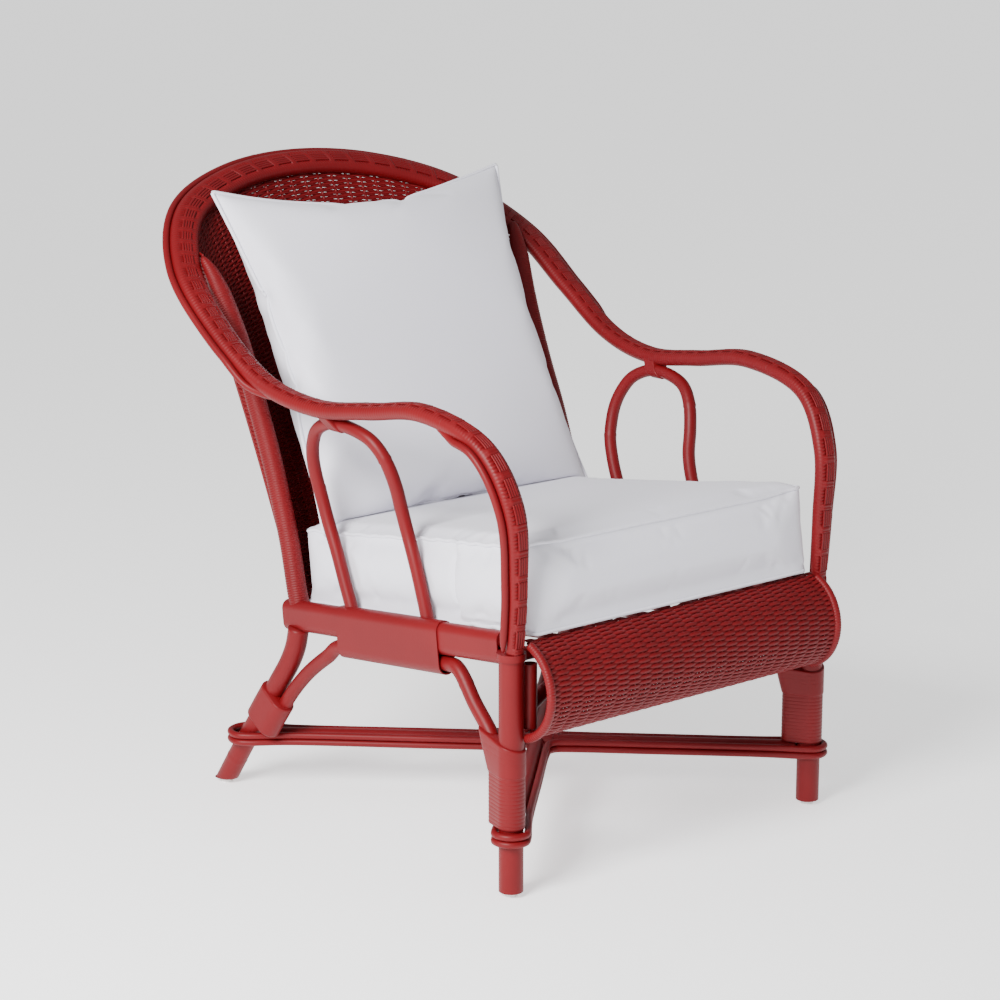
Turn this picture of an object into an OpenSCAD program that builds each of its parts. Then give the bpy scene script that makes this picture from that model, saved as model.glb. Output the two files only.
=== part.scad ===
// Rattan lounge armchair with a lift-off seat cushion and back pillow.
// The front of the chair faces -Y, +Z is up, and the origin is on the floor under the middle of the frame.
// Most pieces are drawn for the left side (-X) and mirrored for the right side.

/* [Frame] */
// Distance from the middle plane to the axis of each front leg
leg_x = 288; // [280:1:300]
// Distance from the origin forward to the axis of the front legs
leg_front = 368; // [360:1:372]
// Diameter of the front leg poles
leg_d = 34; // [30:1:36]
// Diameter of the rear leg poles
rear_leg_d = 31; // [28:1:32]
// Height of the front leg poles, where the collars start
leg_top = 334; // [330:1:336]
// Diameter of the poles in the arched braces
brace_d = 21; // [18:1:22]
// Diameter of the thin rods that loop round the legs
rod_d = 10; // [7:0.5:10]
// Height of the axis of the crossed stretchers
stretcher_z = 86; // [82:1:90]

/* [Hoop] */
// Thickness of the wrapped band
band_t = 22; // [20:1:23]
// Thickness of the cane wrapping
wrap_t = 2.2; // [1.8:0.1:2.6]
// Diameter of the smooth pole along the outer edge
edge_d = 10; // [8:0.5:11]
// Diameter of the poles in the arm loops
loop_d = 19; // [17:0.5:21]

/* [Apron] */
// Outer radius of the woven half roll under the front of the seat
apron_r = 72; // [66:1:74]
// Half of the length of the half roll
apron_half = 267; // [255:1:268]

/* [Seat cushion] */
// Half width of the seat cushion between the arm loops
seat_half_w = 262; // [250:1:262]
// Depth of the seat cushion, front to back
seat_depth = 526; // [480:1:530]
// Thickness of the seat cushion
seat_thick = 131; // [110:1:136]

/* [Back pillow] */
// Half width of the back pillow
pillow_half_w = 268; // [240:1:270]
// Height of the back pillow along its slope
pillow_h = 520; // [460:1:530]
// Thickness of the back pillow
pillow_t = 112; // [90:1:116]

/* [Hidden] */

PAINT = "#a83e44";
PAINT_DARK = "#8f2f36";
CLOTH = "#d6d8dc";
FOAM = "#efe9d8";
NYLON = "#f2f2f2";
$fn = 48;

// Heights and slopes of the seat frame
rail_x = 281;
rail_front_y = -345;
rail_rear_y = 148;
rail_pole_d = 20;
rail_front_z = 344;
rail_rear_z = 283;
glide_h = 7;
glide_d = 18;
rear_foot = [-318, 267, 0];
clear = 0.3;
outline_mid = 42.58;

// Points along the left half of the hoop: up the front post, back along the arm and round the top of the back
HOOP = [
    [-289, -375, 345], [-288, -381, 440], [-293, -378, 540], [-303, -326, 618], [-307, -210, 645],
    [-310, -95, 630], [-319, 20, 618], [-331, 130, 640], [-336, 232, 701], [-324, 330, 776],
    [-255, 424, 845], [-137, 477, 884], [0, 494, 897]
];
// Direction that the band faces at each of those points
FACES = [
    [0, -1, 0], [0, -1, 0], [0, -1, 0.2], [0, -0.7, 0.7], [0, 0, 1], [0, 0, 1], [0, 0, 1],
    [0, -0.25, 0.97], [0, -0.5, 0.87], [0, -0.6, 0.8], [0, -0.6, 0.8], [0, -0.6, 0.8], [0, -0.6, 0.8]
];
// Width of the wrapped band at each of those points
WIDTHS = [24, 29, 34, 34, 34, 34, 34, 36, 41, 45, 45, 45, 45];

// --- vectors, curves and sweeps ---------------------------------------------------------------------------------
function unit(v) = v / norm(v);
function flip_x(v) = [-v[0], v[1], v[2]];
function reversed(list) = [for (i = [len(list) - 1:-1:0]) list[i]];
function whole(half) = concat(half, [for (i = [len(half) - 2:-1:0]) flip_x(half[i])]);
function whole_n(half) = concat(half, [for (i = [len(half) - 2:-1:0]) half[i]]);

// Value at parameter t of a smooth curve through the points p, where whole numbers are the points themselves
function at(p, t) =
    let (last = len(p) - 1, i = min(floor(t), last - 1), u = t - i)
    let (b = p[i], c = p[i + 1], a = i > 0 ? p[i - 1] : 2 * b - c, d = i + 2 <= last ? p[i + 2] : 2 * c - b)
    0.5 * (2 * b + (c - a) * u + (2 * a - 5 * b + 4 * c - d) * u * u + (3 * b - a - 3 * c + d) * u * u * u);
function heading(p, t) = unit(at(p, min(t + 0.02, len(p) - 1)) - at(p, max(t - 0.02, 0)));
// Same as the hoop, carried on over the middle to the right side
HOOP_ALL = whole(HOOP);
FACES_ALL = concat(FACES, reversed([for (i = [0:len(FACES) - 2]) FACES[i]]));
WIDTHS_ALL = whole_n(WIDTHS);
MID = len(HOOP) - 1;
function side_dir(t) = unit(cross(heading(HOOP_ALL, t), at(FACES_ALL, t)));
function face_dir(t) = unit(cross(side_dir(t), heading(HOOP_ALL, t)));
function band_w(t) = at(WIDTHS_ALL, t);
// Point of the band at parameter t, s across it towards the outer edge and n out of its face
function band_point(t, s, n) = at(HOOP_ALL, t) + s * side_dir(t) * OUT + n * face_dir(t);
OUT = -1;

// Closed tube through rings of points, all with the same number of points
module skin(rings) {
    sides = len(rings[0]);
    rows = len(rings);
    faces = concat(
        [[for (j = [sides - 1:-1:0]) j]],
        [for (i = [0:rows - 2], j = [0:sides - 1])
            let (k = (j + 1) % sides)
            each [
                [i * sides + j, i * sides + k, (i + 1) * sides + k],
                [i * sides + j, (i + 1) * sides + k, (i + 1) * sides + j]
            ]],
        [[for (j = [0:sides - 1]) (rows - 1) * sides + j]]
    );
    polyhedron([for (r = rings) each r], faces);
}
// Ring of points round a place, in the plane across the direction dir, with up as the first axis
function ring(place, dir, up, r, sides) =
    let (a = unit(cross(dir, up)), b = unit(cross(a, dir)))
    [for (j = [0:sides - 1]) place + r * (cos(360 * j / sides) * a + sin(360 * j / sides) * b)];
// Round pole that follows a smooth curve through the points p
module pole(p, d, sides = 12, steps = 5, up = [0, 0, 1]) {
    n = (len(p) - 1) * steps;
    skin([for (i = [0:n]) ring(at(p, i / steps), heading(p, i / steps), up, d / 2, sides)]);
}
// Straight round pole between two places
module rod(a, b, d) {
    v = b - a;
    translate(a)
        rotate([0, acos(v[2] / norm(v)), atan2(v[1], v[0])])
            cylinder(d = d, h = norm(v));
}
// Hollow tube between an outer and an inner set of rings, with flat ends
module tube(outer, inner) {
    sides = len(outer[0]);
    rows = len(outer);
    m = sides * rows;
    last = (rows - 1) * sides;
    faces = [
        for (j = [0:sides - 1])
            let (k = (j + 1) % sides)
            each concat(
                [for (i = [0:rows - 2])
                    let (p = i * sides, q = p + sides)
                    each [
                        [p + j, p + k, q + k], [p + j, q + k, q + j],
                        [m + p + j, m + q + k, m + p + k], [m + p + j, m + q + j, m + q + k]
                    ]],
                [
                    [j, m + k, k], [j, m + j, m + k],
                    [last + j, last + k, m + last + k], [last + j, m + last + k, m + last + j]
                ]
            )
    ];
    polyhedron([for (r = concat(outer, inner)) each r], faces);
}
// Closed loop of pole through the points p
module closed_pole(p, d, sides, steps) {
    m = len(p);
    n = m * steps;
    loop = concat([p[m - 1]], p, [p[0], p[1]]);
    rings = [for (i = [0:n - 1])
        let (t = 1 + i / steps)
        ring(at(loop, t), heading(loop, t), [0, 0, 1], d / 2, sides)];
    faces = [for (i = [0:n - 1], j = [0:sides - 1])
        let (k = (j + 1) % sides, q = (i + 1) % n)
        each [[i * sides + j, i * sides + k, q * sides + k], [i * sides + j, q * sides + k, q * sides + j]]];
    polyhedron([for (r = rings) each r], faces);
}
// Flat bundle outline in space, long side along the part of Y that is square to dir
function bundle_ring(place, dir, w, t) =
    let (x = unit(cross(dir, [1, 0, 0])), y = unit(cross(x, dir)), e = (w - t) / 2)
    [for (j = [0:15])
        let (a = 22.5 * j + 11.25)
        place + (t / 2 * cos(a) + (cos(a) > 0 ? e : -e)) * x + t / 2 * sin(a) * y];
module left_or_right(side) {
    if (side == "left")
        children();
    else
        mirror([1, 0, 0]) children();
}
// Outline of a flat bundle with round edges
module stadium(w, t) {
    translate([-(w - t) / 2, 0]) circle(d = t);
    translate([(w - t) / 2, 0]) circle(d = t);
    square([w - t, t], center = true);
}

// --- legs -------------------------------------------------------------------------------------------------------
module front_leg(side) {
    color(PAINT) left_or_right(side)
        translate([-leg_x, -leg_front, glide_h]) cylinder(d = leg_d, h = leg_top - glide_h);
}
module front_inner_pole(side) {
    color(PAINT) left_or_right(side)
        translate([-258, -371, 234]) cylinder(d = brace_d - 1, h = 90);
}
REAR_LEG = [rear_foot + [0, 0, glide_h], [-312, 226, 71], [-304, 187, 130], [-297, 152, 184], [-292, 135, 213], [-288, 124, 241], [-286, 118, 272]];
module rear_leg(side) {
    color(PAINT) left_or_right(side)
        difference() {
            pole(concat([REAR_LEG[0] * 2 - REAR_LEG[1]], REAR_LEG), rear_leg_d, 16, 4, [0, 1, 0]);
            translate([-400, 0, glide_h - 100]) cube([200, 400, 100]);
            rail_room();
        }
}
// Space that the left side rail fills, with a little room round it
module rail_room() {
    along_rail(-400, 250) stadium(rail_h + 2 * clear, rail_w + 2 * clear);
}
module glide() {
    cylinder(d = glide_d, h = glide_h - clear);
}
module leg_glides() {
    color(NYLON)
        for (s = [-1, 1]) {
            translate([s * leg_x, -leg_front, 0]) glide();
            translate([s * rear_foot[0], rear_foot[1], 0]) glide();
        }
}
module front_collar(side) {
    color(PAINT) left_or_right(side)
        translate([-leg_x, -leg_front, leg_top + clear]) cylinder(d = leg_d + 6, h = 10);
}
// Binding round a front leg and the ends of the side brace and the front brace
brace_gap = (leg_d + brace_d) / 2 + 0.4;
brace_turn = 46;
module bundle(cover, z0, z1, spread) {
    hull()
        for (level = [[z0, 0], [z1, spread]])
            translate([0, 0, level[0]]) {
                cylinder(d = leg_d + 2 * cover, h = 0.1);
                for (a = [[90, 1], [brace_turn, 0.55]])
                    rotate(a[0]) translate([brace_gap + a[1] * level[1], 0, 0]) cylinder(d = brace_d + 2 * cover, h = 0.1);
            }
}
module front_leg_wrap(side) {
    color(PAINT) left_or_right(side)
        translate([-leg_x, -leg_front, 0])
            difference() {
                union() {
                    bundle(2.4, 98.2, 172, 0);
                    bundle(3.2, 171, 216, 21);
                }
                bundle(0.6, 98, 172, 0);
                bundle(0.8, 171, 216.4, 21);
            }
}

// --- crossed stretchers -----------------------------------------------------------------------------------------
stretcher_d = 23;
rear_ring = [-310, 218];
LEGS = [[-leg_x, -leg_front], [leg_x, -leg_front], [-rear_ring[0], rear_ring[1]], rear_ring];
LEG_SIZES = [leg_d, leg_d, rear_leg_d + 11.5, rear_leg_d + 11.5];
// The stretchers cross on the middle plane
cross_y = LEGS[0][1] + (LEGS[2][1] - LEGS[0][1]) * leg_x / (LEGS[2][0] + leg_x);
cross_xy = [0, cross_y];
function away(k) = unit(LEGS[k] - cross_xy);
function at_height(p, z) = [p[0], p[1], z];
function spoke(k, from_leg) = LEGS[k] - away(k) * from_leg;
function spoke_end(k) = at_height(spoke(k, LEG_SIZES[k] / 2 + 3), stretcher_z);
module spoke_rod(k, inner) {
    rod(spoke_end(k), at_height(cross_xy + away(k) * inner, stretcher_z), stretcher_d);
}
module stretcher_long() {
    color(PAINT)
        rod(spoke_end(3), spoke_end(1), stretcher_d);
}
half_gap = stretcher_d / 2 + 3;
module stretcher_half_front() {
    color(PAINT) spoke_rod(0, half_gap);
}
module stretcher_half_rear() {
    color(PAINT) spoke_rod(2, half_gap);
}
// Two bands of cane round the long stretcher, one on each side of the crossing
module stretcher_lashing() {
    color(PAINT_DARK)
        for (s = [15, 23])
            for (k = [1, 3])
                difference() {
                    rod(at_height(cross_xy + away(k) * (s + 3), stretcher_z),
                        at_height(cross_xy + away(k) * (s + 9), stretcher_z), stretcher_d + 4);
                    rod(at_height(cross_xy, stretcher_z), at_height(cross_xy + away(k) * 90, stretcher_z),
                        stretcher_d + 0.6);
                }
}
// Thin rods in a closed star: round the outside of each leg, then in along the stretchers
rod_z = 91;
star_off = stretcher_d / 2 + rod_d / 2 + 1.5;
function turn(v, a) = [v[0] * cos(a) - v[1] * sin(a), v[0] * sin(a) + v[1] * cos(a)];
function leg_points(k) =
    let (reach = LEG_SIZES[k] / 2 + rod_d / 2 + 1.4)
    [for (w = [-105, -52, 0, 52, 105]) LEGS[k] + reach * turn(away(k), w)];
function bend_points(k) =
    let (a = away(k), b = away((k + 1) % 4), m = unit(a + b), half = acos(a * b) / 2, r = star_off / sin(half))
    [
        spoke(k, 80) + star_off * turn(a, 90), cross_xy + m * r + a * 150, cross_xy + m * r + a * 40,
        cross_xy + m * (r + 9), cross_xy + m * r + b * 40, cross_xy + m * r + b * 150,
        spoke((k + 1) % 4, 80) + star_off * turn(b, -90)
    ];
STAR = [for (k = [0:3]) each concat(leg_points(k), bend_points(k))];
module stretcher_rod(z) {
    color(PAINT) closed_pole([for (p = STAR) at_height(p, z)], rod_d, 8, 2);
}

// --- seat frame -------------------------------------------------------------------------------------------------
rail_slope = (rail_rear_z - rail_front_z) / (rail_rear_y - rail_front_y);
rail_tilt = atan(rail_slope);
function rail_z(y) = rail_front_z + (y - rail_front_y) * rail_slope;
rail_level = rail_pole_d / 2 + 0.3;
rail_w = rail_pole_d + 5;
rail_h = rail_pole_d * 2 + 6;
rail_cover = 2;
rail_inner = rail_x - rail_w / 2 - clear;
// Puts an outline, drawn with its long side along X, upright across the left rail and pulls it from y0 to y1
module along_rail(y0, y1) {
    translate([-rail_x, y0, rail_z(y0)])
        rotate([rail_tilt - 90, 0, 0])
            linear_extrude((y1 - y0) / cos(rail_tilt))
                rotate(90) children();
}
module side_rail(side, level) {
    color(PAINT) left_or_right(side)
        along_rail(rail_front_y, rail_rear_y) translate([-level, 0]) circle(d = rail_pole_d);
}
module side_rail_wrap(side) {
    color(PAINT) left_or_right(side)
        along_rail(rail_front_y, rail_rear_y)
            difference() {
                stadium(rail_h, rail_w);
                stadium(rail_h - 2 * rail_cover, rail_w - 2 * rail_cover);
            }
}
brace_drop = rail_h / 2 + brace_d / 2 + 2;
binding_y = [-218, 14];
SIDE_BRACE = [
    [-leg_x, brace_gap - leg_front, 98.5], [-leg_x, brace_gap - leg_front, 145], [-leg_x, -339.5, 176],
    [-288, -334, 200], [-287, -322, 222], [-285, -288, 253], [-283, -252, rail_z(-252) - brace_drop - 6],
    [-rail_x, -218, rail_z(-218) - brace_drop], [-rail_x, -105, rail_z(-105) - brace_drop],
    [-rail_x, 14, rail_z(14) - brace_drop], [-283, 52, 240], [-288, 93, 207], [-294, 126, 170],
    [-300, 152, 130], [-304, 168, 104]
];
module side_brace(side) {
    color(PAINT) left_or_right(side) pole(SIDE_BRACE, brace_d, 12, 3, [1, 0, 0]);
}
// Wide binding round the middle of a side rail and the crown of the brace under it
binding_h = rail_h + brace_d + 6;
binding_cover = 1.7;
module side_binding(side) {
    color(PAINT) left_or_right(side)
        along_rail(binding_y[0], binding_y[1])
            difference() {
                binding_outline(binding_cover);
                binding_outline(0);
            }
}
module binding_outline(cover) {
    translate([(binding_h - rail_h) / 2 - 0.5, 0]) stadium(binding_h + 2 * cover, rail_w + 0.8 + 2 * cover);
}
// Binding round a rear leg and the rear end of the side brace, in slices along the leg
WRAP_SPINE = [[-306, 186, 111], [-303, 170, 136], [-300, 154, 160]];
module rear_leg_wrap(side) {
    color(PAINT) left_or_right(side)
        tube(
            [for (t = [0:0.25:2]) bundle_ring(at(WRAP_SPINE, t), heading(WRAP_SPINE, t), 64, 37)],
            [for (t = [0:0.25:2]) bundle_ring(at(WRAP_SPINE, t), heading(WRAP_SPINE, t), 60.6, 33.4)]
        );
}
module front_rail() {
    color(PAINT) rod([-leg_x + 22, -357, 334], [leg_x - 22, -357, 334], 19);
}
module rear_rail() {
    color(PAINT) rod([-rail_inner, 135, 268], [rail_inner, 135, 268], 24);
}
FRONT_BRACE = [
    [-268.5, -348, 98.5], [-268.5, -348, 150], [-268, -348, 196], [-262, -347, 226], [-243, -347, 249],
    [-217, -348, 268], [-175, -350, 291], [-110, -352, 306], [0, -353, 312]
];
module front_brace() {
    color(PAINT) pole(whole(FRONT_BRACE), brace_d - 1, 12, 3, [0, 1, 0]);
}
seat_pole_d = 11;
seat_gap = 12;
module seat_poles() {
    color(PAINT_DARK)
        for (i = [-4:4])
            translate([rail_x + i * 54, 0, 0])
                along_rail(-366, 146) translate([-seat_gap + seat_pole_d / 2 + 0.3, 0]) circle(d = seat_pole_d);
}
// Small pegs in the rear ends of the side rails
module rail_pegs() {
    color(PAINT)
        for (s = [-1, 1])
            translate([s * rail_x, rail_rear_y + 1.6, rail_rear_z])
                rotate([-90, 0, 0]) cylinder(d = 9, h = 4);
}

// --- hoop, arms and loops ---------------------------------------------------------------------------------------
LOOP = [
    [-276, -14, 290], [-276, 16, 356], [-276, 34, 398], [-277, 53, 440], [-280, 66, 480], [-286, 70, 510],
    [-292, 68, 537], [-298, 58, 562], [-303, 40, 583], [-306, 8, 597], [-306, -26, 599], [-302, -62, 592.5],
    [-297, -84, 581], [-290, -101, 558], [-282, -111, 526], [-275, -116, 490], [-272, -126, 456],
    [-272, -138, 428], [-272, -153, 389], [-272, -180, 312]
];
module arm_loop(side) {
    color(PAINT) left_or_right(side)
        difference() {
            pole(LOOP, loop_d, 12, 2, [1, 0, 0]);
            along_rail(-400, 250) binding_outline(binding_cover + clear);
        }
}
// Binding that ties the crown of a loop to the arm above it
module loop_binding(side) {
    color(PAINT) left_or_right(side)
        translate([-317.5, 11, 608.5])
            rotate([84, 0, 0])
                linear_extrude(22)
                    difference() {
                        scale(1.04) tie_outline();
                        tie_outline();
                    }
}
module tie_outline() {
    hull() {
        translate([0, 10.8]) stadium(38, 26);
        translate([11.5, -11.6]) circle(d = loop_d + 3);
    }
}
HOOP_STEPS = 3;
T_END = len(HOOP_ALL) - 1;
function steps_between(t0, t1) =
    let (n = ceil((t1 - t0) * HOOP_STEPS))
    [for (i = [0:n]) t0 + (t1 - t0) * i / n];
// Pole inside the band, at s(t) across it, drawn from t0 to t1
module core(ts, places, d) {
    skin([for (i = [0:len(ts) - 1]) ring(places[i], heading(HOOP_ALL, ts[i]), face_dir(ts[i]), d / 2, 8)]);
}
core_d = 14;
function core_s(t) = 7.2 + 0.47 * max(band_w(t) - 34, 0);
module hoop_core_outer() {
    ts = steps_between(0, T_END);
    color(PAINT_DARK) core(ts, [for (t = ts) band_point(t, core_s(t) * ease(min(t, T_END - t) / 2), 0)], core_d);
}
module hoop_core_inner() {
    ts = steps_between(2, T_END - 2);
    color(PAINT_DARK) core(ts, [for (t = ts) band_point(t, -core_s(t), 0)], core_d);
}
module hoop_core_middle() {
    ts = steps_between(9, T_END - 9);
    color(PAINT_DARK) core(ts, [for (t = ts) band_point(t, 0, 0)], 9.4);
}
BAND_SIDES = 16;
function band_ring(t, less) =
    let (w = band_w(t) - 2 * less, h = band_t - 2 * less, e = (w - h) / 2)
    [for (j = [0:BAND_SIDES - 1])
        let (a = -360 * (j + 0.5) / BAND_SIDES)
        band_point(t, h / 2 * cos(a) + (cos(a) > 0 ? e : -e), h / 2 * sin(a))];
module band_wrap(t0, t1) {
    ts = steps_between(t0, t1);
    tube([for (t = ts) band_ring(t, 0)], [for (t = ts) band_ring(t, wrap_t)]);
}
SEAM_FRONT = 3.6;
SEAM_REAR = 6.95;
seam = 0.004;
module post_wrap(side) {
    color(PAINT) left_or_right(side) band_wrap(0, SEAM_FRONT - seam);
}
module arm_wrap(side) {
    color(PAINT) left_or_right(side) band_wrap(SEAM_FRONT, SEAM_REAR - seam);
}
module back_wrap() {
    color(PAINT) band_wrap(SEAM_REAR, T_END - SEAM_REAR);
}
// The edge pole lies beside the band, and turns under it where the arm begins
edge_reach = band_t / 2 + edge_d / 2 + 1.1;
function edge_place(t, turned) =
    let (e = (band_w(t) - band_t) / 2)
    band_point(t, e + edge_reach * cos(turned), -edge_reach * sin(turned));
function ease(u) = u <= 0 ? 0 : u >= 1 ? 1 : u * u * (3 - 2 * u);
module front_edge_pole(side) {
    ts = steps_between(0.04, 3.75);
    color(PAINT) left_or_right(side)
        core(ts, [for (t = ts) edge_place(t, 12 + 73 * ease((t - 2.95) / 0.8))], edge_d);
}
module hoop_edge_pole() {
    ts = steps_between(6.7, T_END - 6.7);
    color(PAINT)
        core(ts, [for (t = ts) edge_place(t, 8 + 74 * ease((7.6 - min(t, T_END - t)) / 0.9))], edge_d);
}

// --- back -------------------------------------------------------------------------------------------------------
BACK_POST = [
    [-277, 121, 272], [-277, 133, 318], [-277, 153, 400], [-277, 190, 505], [-277, 229, 592], [-278, 262, 678],
    [-284, 299, 762], [-289, 314, 792]
];
post_d = 30;
module back_post(side) {
    color(PAINT) left_or_right(side)
        difference() {
            pole(BACK_POST, post_d, 16, 3, [0, 1, 0]);
            rail_room();
            translate([-400, 0, 250]) cube([400, 400, 46]);
        }
}
panel_t = 7;
PANEL_COLS = 20;
PANEL_ROWS = 10;
function panel_low(u) = [262 * u, 146 + 26 * (1 - u * u), 300];
function panel_high(u) =
    let (t = MID + 2.55 * u)
    band_point(t, -(band_w(t) / 2 + 5), 0);
function panel_point(u, v) =
    let (a = panel_low(u), b = panel_high(u), p = a + (b - a) * v, bulge = 12 * sin(180 * v) * u * u)
    p + [0, -bulge, 0];
module back_panel() {
    front = [for (i = [0:PANEL_ROWS], j = [0:PANEL_COLS]) panel_point(2 * j / PANEL_COLS - 1, i / PANEL_ROWS)];
    rear = [for (p = front) p + [0, panel_t * 0.87, -panel_t * 0.5]];
    n = PANEL_COLS + 1;
    m = len(front);
    function id(i, j) = i * n + j;
    faces = concat(
        [for (i = [0:PANEL_ROWS - 1], j = [0:PANEL_COLS - 1])
            each [[id(i, j), id(i + 1, j), id(i + 1, j + 1)], [id(i, j), id(i + 1, j + 1), id(i, j + 1)]]],
        [for (i = [0:PANEL_ROWS - 1], j = [0:PANEL_COLS - 1])
            each [
                [m + id(i, j), m + id(i + 1, j + 1), m + id(i + 1, j)],
                [m + id(i, j), m + id(i, j + 1), m + id(i + 1, j + 1)]
            ]],
        [for (j = [0:PANEL_COLS - 1]) each panel_edge(id(0, j), id(0, j + 1), m)],
        [for (j = [0:PANEL_COLS - 1]) each panel_edge(id(PANEL_ROWS, j + 1), id(PANEL_ROWS, j), m)],
        [for (i = [0:PANEL_ROWS - 1]) each panel_edge(id(i + 1, 0), id(i, 0), m)],
        [for (i = [0:PANEL_ROWS - 1]) each panel_edge(id(i, PANEL_COLS), id(i + 1, PANEL_COLS), m)]
    );
    color(PAINT) polyhedron(concat(front, rear), faces);
}
function panel_edge(a, b, m) = [[a, b, m + b], [a, m + b, m + a]];

// --- apron ------------------------------------------------------------------------------------------------------
apron_y = -363.5;
apron_z = 290.5;
apron_t = 7;
border_d = 11;
module apron_arc(r0, r1, from, to) {
    polygon(concat(
        [for (i = [0:24]) let (a = from + (to - from) * i / 24) r1 * [cos(a), sin(a)]],
        [for (i = [24:-1:0]) let (a = from + (to - from) * i / 24) r0 * [cos(a), sin(a)]]
    ));
}
module apron_skin() {
    color(PAINT)
        translate([-apron_half, apron_y, apron_z])
            rotate([90, 0, 90])
                linear_extrude(2 * apron_half) apron_arc(apron_r - apron_t, apron_r, 107, 260);
}
module apron_border_poles() {
    color(PAINT)
        for (s = [-1, 1])
            translate([s * (apron_half + border_d / 2 + clear), apron_y, apron_z])
                rotate([90, 0, 90])
                    rotate(115)
                        rotate_extrude(angle = 137, $fn = 96) translate([apron_r - 3, 0]) circle(d = border_d, $fn = 24);
}
module apron_lower_rail() {
    color(PAINT) rod([-248, -366, 222], [248, -366, 222], 11);
}

// --- seat cushion -----------------------------------------------------------------------------------------------
seat_y = -386;
cushion_wall = 1.5;
module seat_space() {
    translate([0, seat_y, rail_z(seat_y) + seat_gap + clear])
        rotate([rail_tilt, 0, 0]) children();
}
// The cushion is wider in front of the arm loops, and its top falls a little towards the back
front_room = 164;
front_extra = 10;
seat_fall = 16;
rail_step = 14;
module seat_block(less) {
    difference() {
        translate([0, 0, less])
            linear_extrude(seat_thick - 2 * less)
                translate([0, seat_depth / 2]) soft_rectangle(seat_half_w - less, seat_depth / 2 - less, 14);
        translate([-400, 0, seat_thick - less])
            rotate([-atan(seat_fall / seat_depth), 0, 0]) cube([800, 800, 100]);
    }
    difference() {
        translate([0, front_room / 2, rail_step + less])
            linear_extrude(seat_thick - rail_step - 2 * less)
                soft_rectangle(seat_half_w + front_extra - less, front_room / 2 - less, 14);
        translate([-400, 0, seat_thick - less])
            rotate([-atan(seat_fall / seat_depth), 0, 0]) cube([800, 800, 100]);
    }
}
module soft_rectangle(a, b, r) {
    hull()
        for (sx = [-1, 1], sy = [-1, 1])
            translate([sx * (a - r), sy * (b - r)]) circle(r = r, $fn = 32);
}
module seat_cushion_cover() {
    color(CLOTH) seat_space()
        difference() {
            seat_block(0);
            seat_block(cushion_wall);
        }
}
module seat_cushion_foam() {
    color(FOAM) seat_space() seat_block(cushion_wall + clear);
}

// --- back pillow ------------------------------------------------------------------------------------------------
pillow_lean = 27.2;
module pillow_space() {
    translate([0, 75, 436])
        rotate([-pillow_lean, 0, 0]) children();
}
module pillow_block(less) {
    hull() {
        translate([0, 38 - less, pillow_h / 2]) pillow_plate(pillow_half_w - less, pillow_h / 2 - less, 34 - 2 * less, 14);
        translate([0, pillow_t - 14 - less, pillow_h / 2 - 20]) pillow_plate(165, 180, pillow_t - 2 * less, 60);
    }
}
module pillow_plate(a, b, t, r) {
    rotate([90, 0, 0]) linear_extrude(t) soft_rectangle(a, b, r);
}
module back_pillow_cover() {
    color(CLOTH) pillow_space()
        difference() {
            pillow_block(0);
            pillow_block(cushion_wall);
        }
}
module back_pillow_filling() {
    color(FOAM) pillow_space() pillow_block(cushion_wall + clear);
}

// Moves a piece so that the middle of the whole outline, front to back, is over the origin
module placed() {
    translate([0, -outline_mid, 0]) children();
}

// --- pieces -----------------------------------------------------------------------------------------------------
placed() front_leg("left");  // front_leg_left
placed() front_leg("right");  // front_leg_right
placed() front_inner_pole("left");  // front_inner_pole_left
placed() front_inner_pole("right");  // front_inner_pole_right
placed() rear_leg("left");  // rear_leg_left
placed() rear_leg("right");  // rear_leg_right
placed() leg_glides();
placed() front_collar("left");  // front_collar_left
placed() front_collar("right");  // front_collar_right
placed() front_leg_wrap("left");  // front_leg_wrap_left
placed() front_leg_wrap("right");  // front_leg_wrap_right
placed() rear_leg_wrap("left");  // rear_leg_wrap_left
placed() rear_leg_wrap("right");  // rear_leg_wrap_right
placed() stretcher_long();
placed() stretcher_half_front();
placed() stretcher_half_rear();
placed() stretcher_lashing();
placed() stretcher_rod(rod_z);  // stretcher_rod_upper
placed() stretcher_rod(rod_z - rod_d - 0.4);  // stretcher_rod_lower
placed() side_rail("left", rail_level);  // side_rail_upper_left
placed() side_rail("right", rail_level);  // side_rail_upper_right
placed() side_rail("left", -rail_level);  // side_rail_lower_left
placed() side_rail("right", -rail_level);  // side_rail_lower_right
placed() side_rail_wrap("left");  // side_rail_wrap_left
placed() side_rail_wrap("right");  // side_rail_wrap_right
placed() side_brace("left");  // side_brace_left
placed() side_brace("right");  // side_brace_right
placed() side_binding("left");  // side_binding_left
placed() side_binding("right");  // side_binding_right
placed() front_rail();
placed() rear_rail();
placed() front_brace();
placed() seat_poles();
placed() rail_pegs();
placed() arm_loop("left");  // arm_loop_left
placed() arm_loop("right");  // arm_loop_right
placed() loop_binding("left");  // loop_binding_left
placed() loop_binding("right");  // loop_binding_right
placed() hoop_core_outer();
placed() hoop_core_inner();
placed() hoop_core_middle();
placed() post_wrap("left");  // post_wrap_left
placed() post_wrap("right");  // post_wrap_right
placed() arm_wrap("left");  // arm_wrap_left
placed() arm_wrap("right");  // arm_wrap_right
placed() back_wrap();
placed() hoop_edge_pole();
placed() front_edge_pole("left");  // front_edge_pole_left
placed() front_edge_pole("right");  // front_edge_pole_right
placed() back_post("left");  // back_post_left
placed() back_post("right");  // back_post_right
placed() back_panel();
placed() apron_skin();
placed() apron_border_poles();
placed() apron_lower_rail();
placed() seat_cushion_cover();
placed() seat_cushion_foam();
placed() back_pillow_cover();
placed() back_pillow_filling();
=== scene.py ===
"""Red rattan lounge armchair with a loose seat cushion and back pillow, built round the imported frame."""

import math

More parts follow.
